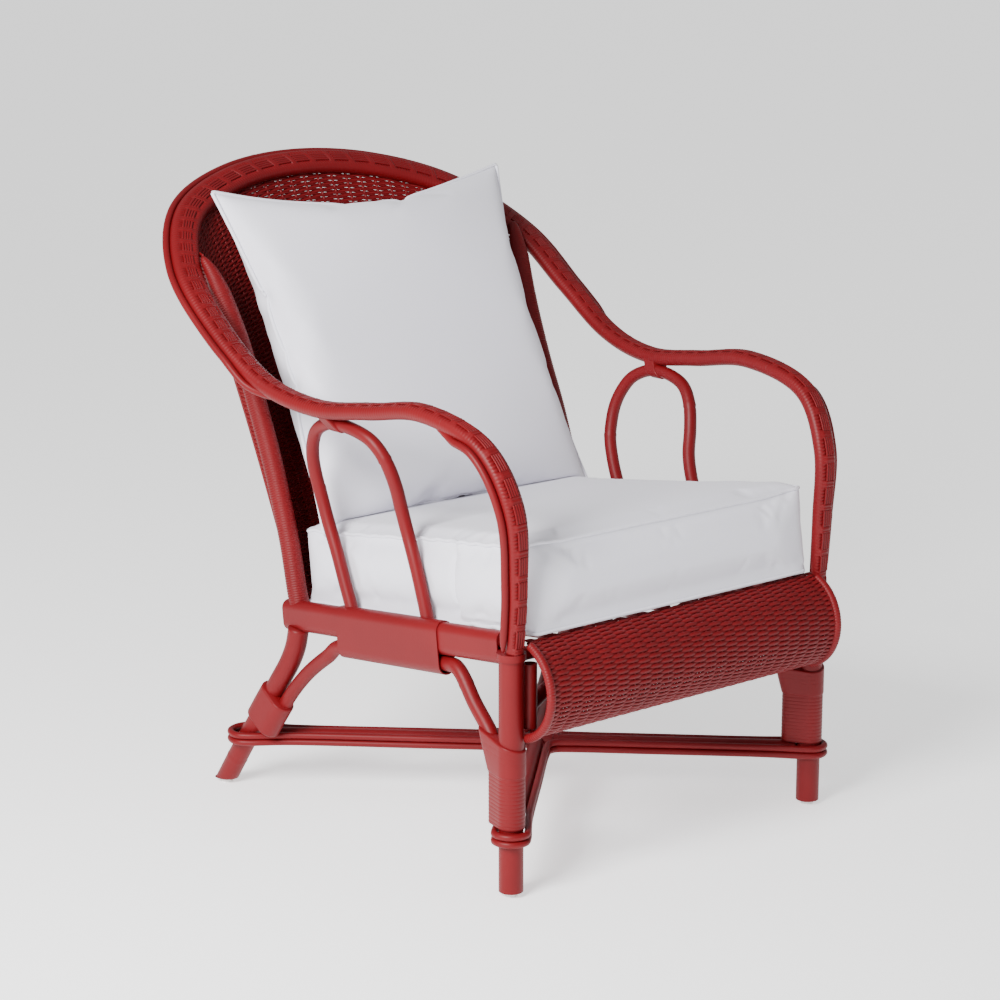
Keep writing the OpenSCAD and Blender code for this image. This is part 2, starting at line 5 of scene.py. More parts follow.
import bpy
import numpy as np
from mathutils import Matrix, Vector
from mathutils.bvhtree import BVHTree


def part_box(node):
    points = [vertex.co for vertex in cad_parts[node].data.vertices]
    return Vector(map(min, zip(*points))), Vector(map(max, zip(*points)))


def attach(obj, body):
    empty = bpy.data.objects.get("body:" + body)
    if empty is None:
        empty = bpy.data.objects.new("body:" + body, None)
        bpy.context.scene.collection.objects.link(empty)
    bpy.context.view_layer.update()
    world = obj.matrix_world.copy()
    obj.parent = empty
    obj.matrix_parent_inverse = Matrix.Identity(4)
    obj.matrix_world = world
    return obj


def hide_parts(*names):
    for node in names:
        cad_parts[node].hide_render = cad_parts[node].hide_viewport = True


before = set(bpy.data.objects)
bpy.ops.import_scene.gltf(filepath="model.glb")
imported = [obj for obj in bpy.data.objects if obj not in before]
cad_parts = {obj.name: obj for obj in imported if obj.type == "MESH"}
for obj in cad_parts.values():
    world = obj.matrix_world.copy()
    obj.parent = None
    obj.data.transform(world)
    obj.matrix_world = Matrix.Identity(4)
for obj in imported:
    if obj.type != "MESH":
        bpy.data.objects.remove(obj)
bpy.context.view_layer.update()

MM = 0.001

# Axis of the left front leg. Routes below are in millimetres from the floor, with this leg at LEG_AXIS.
LEG_AXIS = (-288.0, -368.0)
leg_low, leg_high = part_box("front_leg_left")
ORIGIN = np.array(
    [
        (leg_low.x + leg_high.x) / 2 / MM - LEG_AXIS[0],
        (leg_low.y + leg_high.y) / 2 / MM - LEG_AXIS[1],
        0.0,
    ]
)

# --- camera -----------------------------------------------
CAMERA_AZIMUTH = math.radians(-39.88)
CAMERA_ELEVATION = math.radians(13.57)
CAMERA_DISTANCE = 4.1107
CAMERA_TARGET = Vector((0.0, ORIGIN[1] * MM, 0.440))
LENS = 99.58
SENSOR_WIDTH = 36

camera = bpy.data.objects.new("camera", bpy.data.cameras.new("camera"))
camera.data.lens = LENS
camera.data.sensor_width = SENSOR_WIDTH
toward = Vector(
    (
        math.sin(CAMERA_AZIMUTH) * math.cos(CAMERA_ELEVATION),
        -math.cos(CAMERA_AZIMUTH) * math.cos(CAMERA_ELEVATION),
        math.sin(CAMERA_ELEVATION),
    )
)
camera.location = CAMERA_TARGET + toward * CAMERA_DISTANCE
camera.rotation_euler = (-toward).to_track_quat("-Z", "Y").to_euler()
bpy.context.scene.collection.objects.link(camera)
bpy.context.scene.camera = camera


# --- materials --------------------------------------------
def new_material(name, colour, roughness, specular=0.4):
    material = bpy.data.materials.new(name)
    material.use_nodes = True
    shader = material.node_tree.nodes["Principled BSDF"]
    shader.inputs["Base Color"].default_value = (*colour, 1)
    shader.inputs["Roughness"].default_value = roughness
    shader.inputs["Specular IOR Level"].default_value = specular
    return material, material.node_tree, shader


def add_noise(tree, scale):
    place = tree.nodes.new("ShaderNodeTexCoord")
    noise = tree.nodes.new("ShaderNodeTexNoise")
    noise.inputs["Scale"].default_value = scale
    noise.inputs["Detail"].default_value = NOISE_DETAIL
    tree.links.new(place.outputs["Object"], noise.inputs["Vector"])
    return noise


def add_bump(tree, shader, height, strength, distance):
    bump = tree.nodes.new("ShaderNodeBump")
    bump.inputs["Strength"].default_value = strength
    bump.inputs["Distance"].default_value = distance
    tree.links.new(height, bump.inputs["Height"])
    tree.links.new(bump.outputs["Normal"], shader.inputs["Normal"])


def tint_by(tree, shader, source, dark, light):
    ramp = tree.nodes.new("ShaderNodeValToRGB")
    ramp.color_ramp.elements[0].position = 0.35
    ramp.color_ramp.elements[0].color = (*dark, 1)
    ramp.color_ramp.elements[1].position = 0.65
    ramp.color_ramp.elements[1].color = (*light, 1)
    tree.links.new(source, ramp.inputs["Fac"])
    tree.links.new(ramp.outputs["Color"], shader.inputs["Base Color"])


NOISE_DETAIL = 3.0
PAINT_SPECULAR = 0.22
PATCH_SCALE = 9.0
PATCH_DARK, PATCH_LIGHT = 0.93, 1.06
GRAIN_SCALE = 260.0
GRAIN_STRENGTH, GRAIN_HEIGHT = 0.25, 0.0004


def paint_material(name, colour, roughness):
    """Brushed-on paint, a little uneven in shade, with the grain of the cane showing through."""
    material, tree, shader = new_material(name, colour, roughness, PAINT_SPECULAR)
    patches = add_noise(tree, PATCH_SCALE)
    dark = [PATCH_DARK * c for c in colour]
    light = [PATCH_LIGHT * c for c in colour]
    tint_by(tree, shader, patches.outputs["Fac"], dark, light)
    grain = add_noise(tree, GRAIN_SCALE)
    add_bump(tree, shader, grain.outputs["Fac"], GRAIN_STRENGTH, GRAIN_HEIGHT)
    return material


RED = (0.14, 0.0035, 0.0055)
# The woven back, the apron and the back posts use the red darkened by this factor: painted shade for the
# recessed weave, on the same paint.
WEAVE_PAINTED_SHADE = 0.94
PAINT = paint_material("red_paint", RED, 0.46)
PAINT_WOVEN_SHADED = paint_material("red_paint_shaded_weave", tuple(WEAVE_PAINTED_SHADE * c for c in RED), 0.5)


CLOTH_COLOUR = (0.76, 0.75, 0.82)
THREAD_SCALE = 330.0
THREAD_STRENGTH, THREAD_HEIGHT = 0.12, 0.0003


def cloth_material():
    """Plain woven cotton: threads both ways, and a soft sheen."""
    material, tree, shader = new_material("pale_cloth", CLOTH_COLOUR, 0.92, 0.2)
    shader.inputs["Sheen Weight"].default_value = 0.25
    shader.inputs["Sheen Roughness"].default_value = 0.5
    place = tree.nodes.new("ShaderNodeTexCoord")
    heights = []
    for direction in ("X", "Z"):
        threads = tree.nodes.new("ShaderNodeTexWave")
        threads.bands_direction = direction
        threads.inputs["Scale"].default_value = THREAD_SCALE
        threads.inputs["Distortion"].default_value = 1.2
        tree.links.new(place.outputs["Object"], threads.inputs["Vector"])
        heights.append(threads.outputs["Fac"])
    both = tree.nodes.new("ShaderNodeMath")
    both.operation = "ADD"
    tree.links.new(heights[0], both.inputs[0])
    tree.links.new(heights[1], both.inputs[1])
    add_bump(tree, shader, both.outputs[0], THREAD_STRENGTH, THREAD_HEIGHT)
    return material


CLOTH = cloth_material()
NYLON = new_material("white_nylon", (0.8, 0.8, 0.78), 0.45)[0]


# --- numbers and curves -----------------------------------
def unit(v):
    v = np.asarray(v, float)
    return v / np.linalg.norm(v, axis=-1, keepdims=True)


def ease(u):
    u = np.clip(u, 0, 1)
    return u * u * (3 - 2 * u)


def at(points, t):
    """Places at the parameters t of a smooth curve through the points, where whole numbers are the points."""
    p = np.asarray(points, float)
    t = np.atleast_1d(np.asarray(t, float))
    last = len(p) - 1
    i = np.clip(np.floor(t).astype(int), 0, last - 1)
    u = (t - i).reshape((-1,) + (1,) * (p.ndim - 1))
    b, c = p[i], p[i + 1]
    inner = (i > 0).reshape(u.shape)
    a = np.where(inner, p[np.maximum(i - 1, 0)], 2 * b - c)
    inner = (i + 2 <= last).reshape(u.shape)
    d = np.where(inner, p[np.minimum(i + 2, last)], 2 * c - b)
    return 0.5 * (2 * b + (c - a) * u + (2 * a - 5 * b + 4 * c - d) * u * u + (3 * b - a - 3 * c + d) * u**3)


def even_steps(points, step, t0=0.0, t1=None):
    """Parameters at even distances along the curve, and how far along it each one is."""
    t1 = len(points) - 1 if t1 is None else t1
    fine = np.linspace(t0, t1, 4000)
    gaps = np.linalg.norm(np.diff(at(points, fine), axis=0), axis=1)
    along = np.concatenate([[0], np.cumsum(gaps)])
    count = max(int(round(along[-1] / step)), 2)
    wanted = np.linspace(0, along[-1], count + 1)
    return np.interp(wanted, along, fine), wanted


def headings(centres, loop=False):
    if loop:
        return unit(np.roll(centres, -1, 0) - np.roll(centres, 1, 0))
    return unit(np.gradient(centres, axis=0))


def wander(along, seed, size, period):
    """A slow, even random drift along a piece."""
    rng = np.random.default_rng(seed)
    knots = int(along[-1] / period) + 4
    return np.interp(along / period, np.arange(knots), rng.normal(0, size, knots))


# --- meshes -----------------------------------------------
def grid(rings, around=True, loop=False, caps=True):
    """Vertices and faces of a skin over rows of points."""
    rows, cols = rings.shape[:2]
    index = np.arange(rows * cols).reshape(rows, cols)
    a = index if loop else index[:-1]
    b = np.roll(index, -1, 0) if loop else index[1:]
    if around:
        quads = np.stack([a, np.roll(a, -1, 1), np.roll(b, -1, 1), b], -1)
    else:
        quads = np.stack([a[:, :-1], a[:, 1:], b[:, 1:], b[:, :-1]], -1)
    faces = [quads.reshape(-1, 4)]
    if around and caps and not loop:
        faces += [index[0][::-1][None], index[-1][None]]
    return rings.reshape(-1, 3), faces


def mirrored(part):
    points, faces = part
    return points * [-1, 1, 1], [f[:, ::-1] for f in faces]


def build(name, parts, material, body="frame", nodes=()):
    """One object from several skins, in millimetres, on a CAD body, standing for the CAD nodes named."""
    points, corners, sizes, first = [], [], [], 0
    for part_points, part_faces in parts:
        for f in part_faces:
            corners.append((f + first).ravel())
            sizes.append(np.full(len(f), f.shape[1]))
        points.append(part_points)
        first += len(part_points)
    points = (np.concatenate(points) + ORIGIN) * MM
    corners, sizes = np.concatenate(corners), np.concatenate(sizes)
    mesh = bpy.data.meshes.new(name)
    mesh.vertices.add(len(points))
    mesh.vertices.foreach_set("co", points.astype(np.float32).ravel())
    mesh.loops.add(len(corners))
    mesh.loops.foreach_set("vertex_index", corners.astype(np.int32))
    mesh.polygons.add(len(sizes))
    starts = np.concatenate([[0], np.cumsum(sizes)[:-1]])
    mesh.polygons.foreach_set("loop_start", starts.astype(np.int32))
    mesh.polygons.foreach_set("loop_total", sizes.astype(np.int32))
    mesh.update(calc_edges=True)
    mesh.validate()
    mesh.shade_smooth()
    return place_mesh(name, mesh, material, body, nodes)


def place_mesh(name, mesh, material, body, nodes):
    mesh.materials.clear()
    mesh.materials.append(material)
    obj = bpy.data.objects.new(name, mesh)
    bpy.context.scene.collection.objects.link(obj)
    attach(obj, body)
    if nodes:
        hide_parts(*nodes)
    return obj


def build_both(name, parts, material, nodes):
    """The left piece and its mirror image, each standing for its own side's CAD nodes."""
    build(name + "_left", parts, material, nodes=[n + "_left" for n in nodes])
    build(name + "_right", [mirrored(p) for p in parts], material, nodes=[n + "_right" for n in nodes])


def rings_round(centres, direction, up, radius, sides):
    """Rings of points across a route. radius is a number, one per ring, or one per point."""
    up = np.broadcast_to(np.asarray(up, float), centres.shape)
    a = unit(up - (up * direction).sum(1, keepdims=True) * direction)
    b = np.cross(direction, a)
    angle = np.linspace(0, 2 * np.pi, sides, endpoint=False)
    radius = np.asarray(radius, float)
    if radius.ndim < 2:
        radius = radius.reshape(-1, 1)
    radius = np.broadcast_to(radius, (len(centres), sides))
    outward = np.cos(angle)[None, :, None] * a[:, None] + np.sin(angle)[None, :, None] * b[:, None]
    return centres[:, None] + radius[..., None] * outward


KNOT_GAP = 265.0
KNOT_HEIGHT, KNOT_WIDTH = 0.55, 2.4
KNOT_DIP, KNOT_DIP_WIDTH, KNOT_DIP_AFTER = 0.35, 1.5, 4.0
POLE_STEP = 4.0
POLE_SIDES = 24
UNEVEN, UNEVEN_PERIOD = 0.12, 60.0


def knots(along, first):
    """Raised rings where a rattan pole's leaves grew, each with a slight dip after it."""
    away = (along - first + KNOT_GAP / 2) % KNOT_GAP - KNOT_GAP / 2
    ring = KNOT_HEIGHT * np.exp(-((away / KNOT_WIDTH) ** 2))
    return ring - KNOT_DIP * np.exp(-(((away - KNOT_DIP_AFTER) / KNOT_DIP_WIDTH) ** 2))


def pole(points, d, up, knot, seed, t0=0.0, t1=None):
    """Round rattan pole along a smooth curve, slightly uneven, with its first knot that far along it."""
    t, along = even_steps(points, POLE_STEP, t0, t1)
    centres = at(points, t)
    radius = d / 2 + knots(along, knot) + wander(along, seed, UNEVEN, UNEVEN_PERIOD)
    return grid(rings_round(centres, headings(centres), up, radius, POLE_SIDES))


def groove(phase, width):
    """1 in the groove between two turns of cane, where phase is a whole number, and 0 between."""
    away = np.abs((phase + 0.5) % 1 - 0.5)
    return np.exp(-((away / width) ** 2))


# --- poles ------------------------------------------------
RAIL_FRONT = (-345.0, 344.0)
RAIL_REAR = (148.0, 283.0)
RAIL_SLOPE = (RAIL_REAR[1] - RAIL_FRONT[1]) / (RAIL_REAR[0] - RAIL_FRONT[0])
RAIL_X = 281.0
RAIL_H = 46.0
LEG_D = 34.0
BRACE_D = 21.0
LOOP_D = 19.0
REAR_LEG_D = 31.0
LEG_X = 288.0
LEG_FRONT = 368.0


def rail_z(y):
    return RAIL_FRONT[1] + (y - RAIL_FRONT[0]) * RAIL_SLOPE


BRACE_DROP = RAIL_H / 2 + BRACE_D / 2 + 2
BRACE_GAP = (LEG_D + BRACE_D) / 2 + 0.4
SIDE_BRACE = [
    [-LEG_X, BRACE_GAP - LEG_FRONT, 98.5],
    [-LEG_X, BRACE_GAP - LEG_FRONT, 145],
    [-LEG_X, -339.5, 176],
    [-288, -334, 200],
    [-287, -322, 222],
    [-285, -288, 253],
    [-283, -252, rail_z(-252) - BRACE_DROP - 6],
    [-RAIL_X, -218, rail_z(-218) - BRACE_DROP],
    [-RAIL_X, -105, rail_z(-105) - BRACE_DROP],
    [-RAIL_X, 14, rail_z(14) - BRACE_DROP],
    [-283, 52, 240],
    [-288, 93, 207],
    [-294, 126, 170],
    [-300, 152, 130],
    [-304, 168, 104],
]
FRONT_BRACE = [
    [-268.5, -348, 98.5],
    [-268.5, -348, 150],
    [-268, -348, 196],
    [-262, -347, 226],
    [-243, -347, 249],
    [-217, -348, 268],
    [-175, -350, 291],
    [-110, -352, 306],
    [0, -353, 312],
]
REAR_LEG = [
    [-318, 267, 7],
    [-312, 226, 71],
    [-304, 187, 130],
    [-297, 152, 184],
    [-292, 135, 213],
    [-288, 124, 241],
    [-286, 118, 272],
]
LOOP = [
    [-276, -14, 290],
    [-276, 16, 356],
    [-276, 34, 398],
    [-277, 53, 440],
    [-280, 66, 480],
    [-286, 70, 510],
    [-292, 68, 537],
    [-298, 58, 562],
    [-303, 40, 583],
    [-306, 8, 597],
    [-306, -26, 599],
    [-302, -62, 592.5],
    [-297, -84, 581],
    [-290, -101, 558],
    [-282, -111, 526],
    [-275, -116, 490],
    [-272, -126, 456],
    [-272, -138, 428],
    [-272, -153, 389],
    [-272, -180, 312],
]
BACK_POST = [
    [-277, 121, 284],
    [-277, 133, 318],
    [-277, 153, 400],
    [-277, 190, 505],
    [-277, 229, 592],
    [-280, 266, 678],
    [-292, 306, 762],
    [-300, 326, 795],
]


def whole(half):
    half = [list(p) for p in half]
    return half + [[-p[0], *p[1:]] for p in half[-2::-1]]


build_both("side_brace", [pole(SIDE_BRACE, BRACE_D, up=(1, 0, 0), knot=205, seed=3)], PAINT, ["side_brace"])
front_brace = pole(whole(FRONT_BRACE), BRACE_D - 1, up=(0, 1, 0), knot=260, seed=4)
build("front_brace", [front_brace], PAINT, nodes=["front_brace"])
build_both("arm_loop", [pole(LOOP, LOOP_D, up=(1, 0, 0), knot=215, seed=5)], PAINT, ["arm_loop"])


def rear_leg_part():
    """Splayed leg, made longer than it is and cut off level above its glide."""
    low = np.array(REAR_LEG[0], float)
    tip = low * 2 - np.array(REAR_LEG[1], float)
    route = [list(tip)] + REAR_LEG
    rings, _ = pole(route, REAR_LEG_D, up=(0, 1, 0), knot=330, seed=6, t0=0.75, t1=6.9)
    rings = rings.reshape(-1, POLE_SIDES, 3)
    rings[..., 2] = np.maximum(rings[..., 2], REAR_LEG[0][2])
    keep = rings[:, :, 2].max(1) > REAR_LEG[0][2] + 0.5
    first = max(int(np.argmax(keep)) - 1, 0)
    return grid(rings[first:])


build_both("rear_leg", [rear_leg_part()], PAINT, ["rear_leg"])

# --- thin rods round the legs and along the stretchers ----
REAR_RING = (-310.0, 218.0)
REAR_RING_D = 42.5
STRETCHER_D = 23.0
ROD_D = 10.0
ROD_LEVELS = (91.0, 80.6)
ROD_GAP = 1.4
LEGS = np.array([[-LEG_X, -LEG_FRONT], [LEG_X, -LEG_FRONT], [-REAR_RING[0], REAR_RING[1]], REAR_RING])
LEG_SIZES = (LEG_D, LEG_D, REAR_RING_D, REAR_RING_D)
CROSS = np.array([0, LEGS[0][1] + (LEGS[2][1] - LEGS[0][1]) * LEG_X / (LEGS[2][0] + LEG_X)])
STAR_OFF = STRETCHER_D / 2 + ROD_D / 2 + 1.5


def turned(v, degrees):
    a = math.radians(degrees)
    return np.array([v[0] * math.cos(a) - v[1] * math.sin(a), v[0] * math.sin(a) + v[1] * math.cos(a)])


def star_route():
    """Closed route of a rod: round the outside of each leg in turn, and in to the crossing between them."""
    route = []
    for k in range(len(LEGS)):
        a, b = unit(LEGS[k] - CROSS), unit(LEGS[(k + 1) % 4] - CROSS)
        reach = LEG_SIZES[k] / 2 + ROD_D / 2 + ROD_GAP
        route += [LEGS[k] + reach * turned(a, w) for w in (-105, -52, 0, 52, 105)]
        m = unit(a + b)
        r = STAR_OFF / math.sin(math.acos(float(a @ b)) / 2)
        route += [
            LEGS[k] - a * 80 + STAR_OFF * turned(a, 90),
            CROSS + m * r + a * 150,
            CROSS + m * r + a * 40,
            CROSS + m * (r + 9),
            CROSS + m * r + b * 40,
            CROSS + m * r + b * 150,
            LEGS[(k + 1) % 4] - b * 80 + STAR_OFF * turned(b, -90),
        ]
    return route


def star_rod(level):
    route = star_route()
    closed = [route[-1]] + route + route[:2]
    t, _ = even_steps(closed, 5.0, 1.0, len(route) + 1.0)
    flat = at(closed, t[:-1])
    centres = np.column_stack([flat, np.full(len(flat), level)])
    return grid(rings_round(centres, headings(centres, True), (0, 0, 1), ROD_D / 2, 16), loop=True)


for rod_name, rod_level in zip(("stretcher_rod_upper", "stretcher_rod_lower"), ROD_LEVELS):
    build(rod_name, [star_rod(rod_level)], PAINT, nodes=[rod_name])

# --- wrapped band of the hoop -----------------------------
HOOP = whole(
    [
        [-289, -375, 345],
        [-288, -381, 440],
        [-293, -378, 540],
        [-303, -326, 618],
        [-307, -210, 645],
        [-310, -95, 630],
        [-319, 20, 618],
        [-331, 130, 640],
        [-336, 232, 701],
        [-324, 330, 776],
        [-255, 424, 845],
        [-137, 477, 884],
        [0, 494, 897],
    ]
)
FACING = [[0, -1, 0]] * 2 + [[0, -1, 0.2], [0, -0.7, 0.7]] + [[0, 0, 1]] * 3
FACING += [[0, -0.25, 0.97], [0, -0.5, 0.87]] + [[0, -0.6, 0.8]] * 4
FACING = whole(FACING)
WIDTHS = [24, 29, 34, 34, 34, 34, 34, 36, 41, 45, 45, 45, 45]
WIDTHS = WIDTHS + WIDTHS[-2::-1]
T_MID = len(HOOP) // 2
T_END = len(HOOP) - 1
BAND_T = 22.0
EDGE_D = 10.0
EDGE_REACH = BAND_T / 2 + EDGE_D / 2 + 0.1


def hoop_frame(t):
    """Centre, direction, outward side and face direction of the band at the parameters t."""
    near, far = np.clip(t - 0.02, 0, T_END), np.clip(t + 0.02, 0, T_END)
    direction = unit(at(HOOP, far) - at(HOOP, near))
    side = unit(np.cross(direction, at(FACING, t)))
    return at(HOOP, t), direction, -side, unit(np.cross(side, direction))


def band_width(t):
    return at(np.array(WIDTHS, float)[:, None], t)[:, 0]


def band_place(t, s, n):
    centre, _, side, face = hoop_frame(t)
    return centre + np.reshape(s, (-1, 1)) * side + np.reshape(n, (-1, 1)) * face


def stadium(width, sides):
    """Places and outward directions round a flat outline with round edges, at even distances."""
    r = BAND_T / 2
    flat = width - BAND_T
    total = 2 * flat + 2 * np.pi * r
    s = (np.arange(sides) + 0.5) / sides * total
    places, normals = [], []
    for d in s:
        if d < flat:
            places.append((flat / 2 - d, r))
            normals.append((0, 1))
            continue
        d -= flat
        if d < np.pi * r:
            a = np.pi / 2 + d / r
            places.append((-flat / 2 + r * math.cos(a), r * math.sin(a)))
            normals.append((math.cos(a), math.sin(a)))
            continue
        d -= np.pi * r
        if d < flat:
            places.append((-flat / 2 + d, -r))
            normals.append((0, -1))
            continue
        a = -np.pi / 2 + (d - flat) / r
        places.append((flat / 2 + r * math.cos(a), r * math.sin(a)))
        normals.append((math.cos(a), math.sin(a)))
    return np.array(places), np.array(normals)


BAND_STEP = 0.95
BAND_SIDES = 44
TURN_PITCH = 5.0
TURN_GROOVE = 0.19
# Four flat leaders run along the face. The turns cross over them in short blocks, as on a ladder.
LEADER_HALF = 8.2
LEADER_OFFSETS = (-6.0, -2.0, 2.0, 6.0)
LEADER_EDGE = [(1.1, 0.62), (1.75, 0.15), (1.75, -1.2)]
LEADER_PROFILE = [(-s, n) for s, n in LEADER_EDGE[::-1]] + [(0, 0.74)] + LEADER_EDGE
POST_BLOCK, SIDE_BLOCK, TOP_BLOCK = 34.0, 27.0, 37.0
POST_FROM_MID = 8.2
CROSSING = 11.0
CROSSING_RISE = 1.2
SLANT = 0.32


def block_phase(t, along):
    """1 at the rings where the turns cross over the leaders, and 0 where the leaders show."""
    mid_gap = np.abs(t - T_MID)
    round_back = SIDE_BLOCK + (TOP_BLOCK - SIDE_BLOCK) * ease(2.4 - mid_gap)
    block = np.where(mid_gap > POST_FROM_MID, POST_BLOCK, round_back)
    steps = np.gradient(along) / block
    phase = np.cumsum(steps) % 1
    share = CROSSING / block
    rise = CROSSING_RISE / block
    return ease(phase / rise) * ease((share - phase) / rise)


def slant_at(t):
    """How much the turns lean over towards the top of the back."""
    return SLANT * ease(3.2 - np.abs(t - T_MID))


def band_rings(t, along):
    """Outline of the band at each step, with its grooves and a flat trough for the leaders."""
    centre, _, side, face = hoop_frame(t)
    widths = band_width(t)
    crossing = block_phase(t, along)
    rings = np.empty((len(t), BAND_SIDES, 3))
    drift = wander(along, 11, 0.25, 40.0)
    slant = slant_at(t)
    for k in range(len(t)):
        flat, normal = stadium(widths[k], BAND_SIDES)
        s, n = flat[:, 0], flat[:, 1]
        on_face = ease((normal[:, 1] - 0.55) / 0.4)
        inside = on_face * ease((LEADER_HALF + 1.6 - np.abs(s)) / 2.0)
        beside = on_face * np.exp(-(((np.abs(s) - LEADER_HALF - 1.6) / 2.6) ** 2))
        phase = (along[k] + slant[k] * s + drift[k]) / TURN_PITCH
        over = np.interp(along[k] + slant[k] * s, along, crossing)
        depth = 0.16 + 0.34 * on_face + 1.5 * beside * (1 - over) + 0.35 * inside * over
        lift = inside * (1.5 * over - 0.9 * (1 - over)) - depth * groove(phase, TURN_GROOVE)
        out = flat + normal * lift[:, None]
        rings[k] = centre[k] + out[:, :1] * side[k] + out[:, 1:] * face[k]
    return rings


def leader_strips(t, along):
    """Flat canes that run along the face and dive under the crossing turns."""
    crossing_here = block_phase(t, along)
    _, _, side, face = hoop_frame(t)
    profile = np.array(LEADER_PROFILE)
    parts = []
    for offset in LEADER_OFFSETS:
        crossing = np.interp(along + slant_at(t) * offset, along, crossing_here)
        height = BAND_T / 2 + 0.6 - 1.4 * crossing
        base = band_place(t, np.full(len(t), offset), height)
        rings = base[:, None] + profile[None, :, :1] * side[:, None] + profile[None, :, 1:] * face[:, None]
        parts.append(grid(rings[:, ::-1]))
    return parts


BAND_PIECES = {
    "band_post_left": (0.0, 3.6, ["post_wrap_left", "hoop_core_outer"]),
    "band_arm_left": (3.6, 6.95, ["arm_wrap_left", "hoop_core_inner"]),
    "band_back": (6.95, T_END - 6.95, ["back_wrap", "hoop_core_middle"]),
    "band_arm_right": (T_END - 6.95, T_END - 3.6, ["arm_wrap_right"]),
    "band_post_right": (T_END - 3.6, T_END, ["post_wrap_right"]),
}
hoop_t, hoop_along = even_steps(HOOP, BAND_STEP)
hoop_rings = band_rings(hoop_t, hoop_along)
hoop_strips = leader_strips(hoop_t, hoop_along)
for piece, (from_t, to_t, stands_for) in BAND_PIECES.items():
    first = int(np.searchsorted(hoop_t, from_t))
    last = int(np.searchsorted(hoop_t, to_t)) + 1
    strips = []
    for strip_points, _ in hoop_strips:
        strips.append(grid(strip_points.reshape(len(hoop_t), -1, 3)[first:last]))
    build(piece, [grid(hoop_rings[first:last])] + strips, PAINT, nodes=stands_for)


EDGE_FINISH = 60.0
EDGE_TUCK = 7.5
EDGE_TIP = 26.0


def edge_pole(t0, t1, turned_at):
    """Smooth pole beside the band. On the arm it turns under the band, and its end tapers and tucks in."""
    t, along = even_steps(HOOP, POLE_STEP, t0, t1)
    angle = np.radians(turned_at(t))
    e = (band_width(t) - BAND_T) / 2
    reach = np.minimum(along, along[-1] - along)
    off = EDGE_REACH - EDGE_TUCK * (1 - ease(reach / EDGE_FINISH)) * (t > 1)
    centres = band_place(t, e + off * np.cos(angle), -off * np.sin(angle))
    radius = 0.25 + EDGE_D / 2 + 0.6 * knots(along, 90)
    radius = radius * np.sqrt(np.clip(1 - (1 - np.clip(reach / EDGE_TIP, 0, 1)) ** 2, 0.05, 1))
    _, _, _, face = hoop_frame(t)
    return grid(rings_round(centres, headings(centres), face, radius, 20))


build_both(
    "front_edge_pole",
    [edge_pole(0.04, 3.75, lambda t: 12 + 73 * ease((t - 2.95) / 0.8))],
    PAINT,
    ["front_edge_pole"],
)
build(
    "hoop_edge_pole",
    [edge_pole(6.7, T_END - 6.7, lambda t: 8 + 74 * ease((7.6 - np.minimum(t, T_END - t)) / 0.9))],
    PAINT,
    nodes=["hoop_edge_pole"],
)

# --- woven back -------------------------------------------
WEFT_PITCH = 3.7
STAKE_GAP = 20.5
POST_D = 30.0
POST_STEP = 0.74
POST_START = 0.28
POST_SIDES = 32
POST_CUTS = 7
POST_TAPER = 60.0


def back_post_part():
    """Post wrapped by the ends of the weave: ribbed towards the panel and nearly smooth outside."""
    t, along = even_steps(BACK_POST, POST_STEP, POST_START, len(BACK_POST) - 1)
    centres = at(BACK_POST, t)
    angle = np.linspace(0, 2 * np.pi, POST_SIDES, endpoint=False)
    # The ring starts at the front, and a quarter of the way round is the outside of the left post.
    inward = 0.5 - 0.5 * np.sin(angle)
    front = 0.5 + 0.5 * np.cos(angle)
    ribbed = 0.1 + 0.75 * ease(1.5 * inward * (0.35 + 0.65 * front) + 0.05)
    cuts = np.random.default_rng(7).uniform(0, along[-1], POST_CUTS)
    deep = np.exp(-(((along[:, None] - cuts[None]) / 0.9) ** 2)).max(1)
    radius = POST_D / 2 - ribbed[None] * groove(along[:, None] / WEFT_PITCH, 0.24) - 0.5 * deep[:, None]
    # The top end narrows to a point beside the band.
    taper = np.sqrt(np.clip((along[-1] - along) / POST_TAPER, 0, 1))
    radius = radius * (0.12 + 0.88 * taper)[:, None]
    return grid(rings_round(centres, headings(centres), (0, -1, 0), radius, POST_SIDES))


build_both("back_post", [back_post_part()], PAINT_WOVEN_SHADED, ["back_post"])


PANEL_HALF = 262
PANEL_FOOT = (146, 286)
PANEL_BOW = 26
PANEL_TOP_SPREAD = 2.55
PANEL_DISH = 12


def panel_point(u, v):
    """Place on the middle of the woven back, where u is -1 to 1 across it and v is 0 to 1 up it."""
    foot_y, foot_z = PANEL_FOOT
    low = np.stack([PANEL_HALF * u, foot_y + PANEL_BOW * (1 - u * u), np.full_like(u, foot_z)], -1)
    t = T_MID + PANEL_TOP_SPREAD * u
    high = band_place(t, -(band_width(t) / 2 - 5), np.full_like(t, -5.0))
    p = low + (high - low) * v[..., None]
    p[:, 1] -= PANEL_DISH * np.sin(np.pi * v) * u * u - 3.0
    p[:, 2] -= 1.7
    return p


PANEL_ROWS = 170
PANEL_STAKES = 26
PANEL_NORMAL = unit([0.0, -0.87, 0.5])
PANEL_WAVE = 1.6
PANEL_STRAND = (1.4, 2.35)
STEPS_PER_STAKE = 4
STAKE_R = 2.3
POST_SIDE = np.array([7.0, 8.0, 0.0])


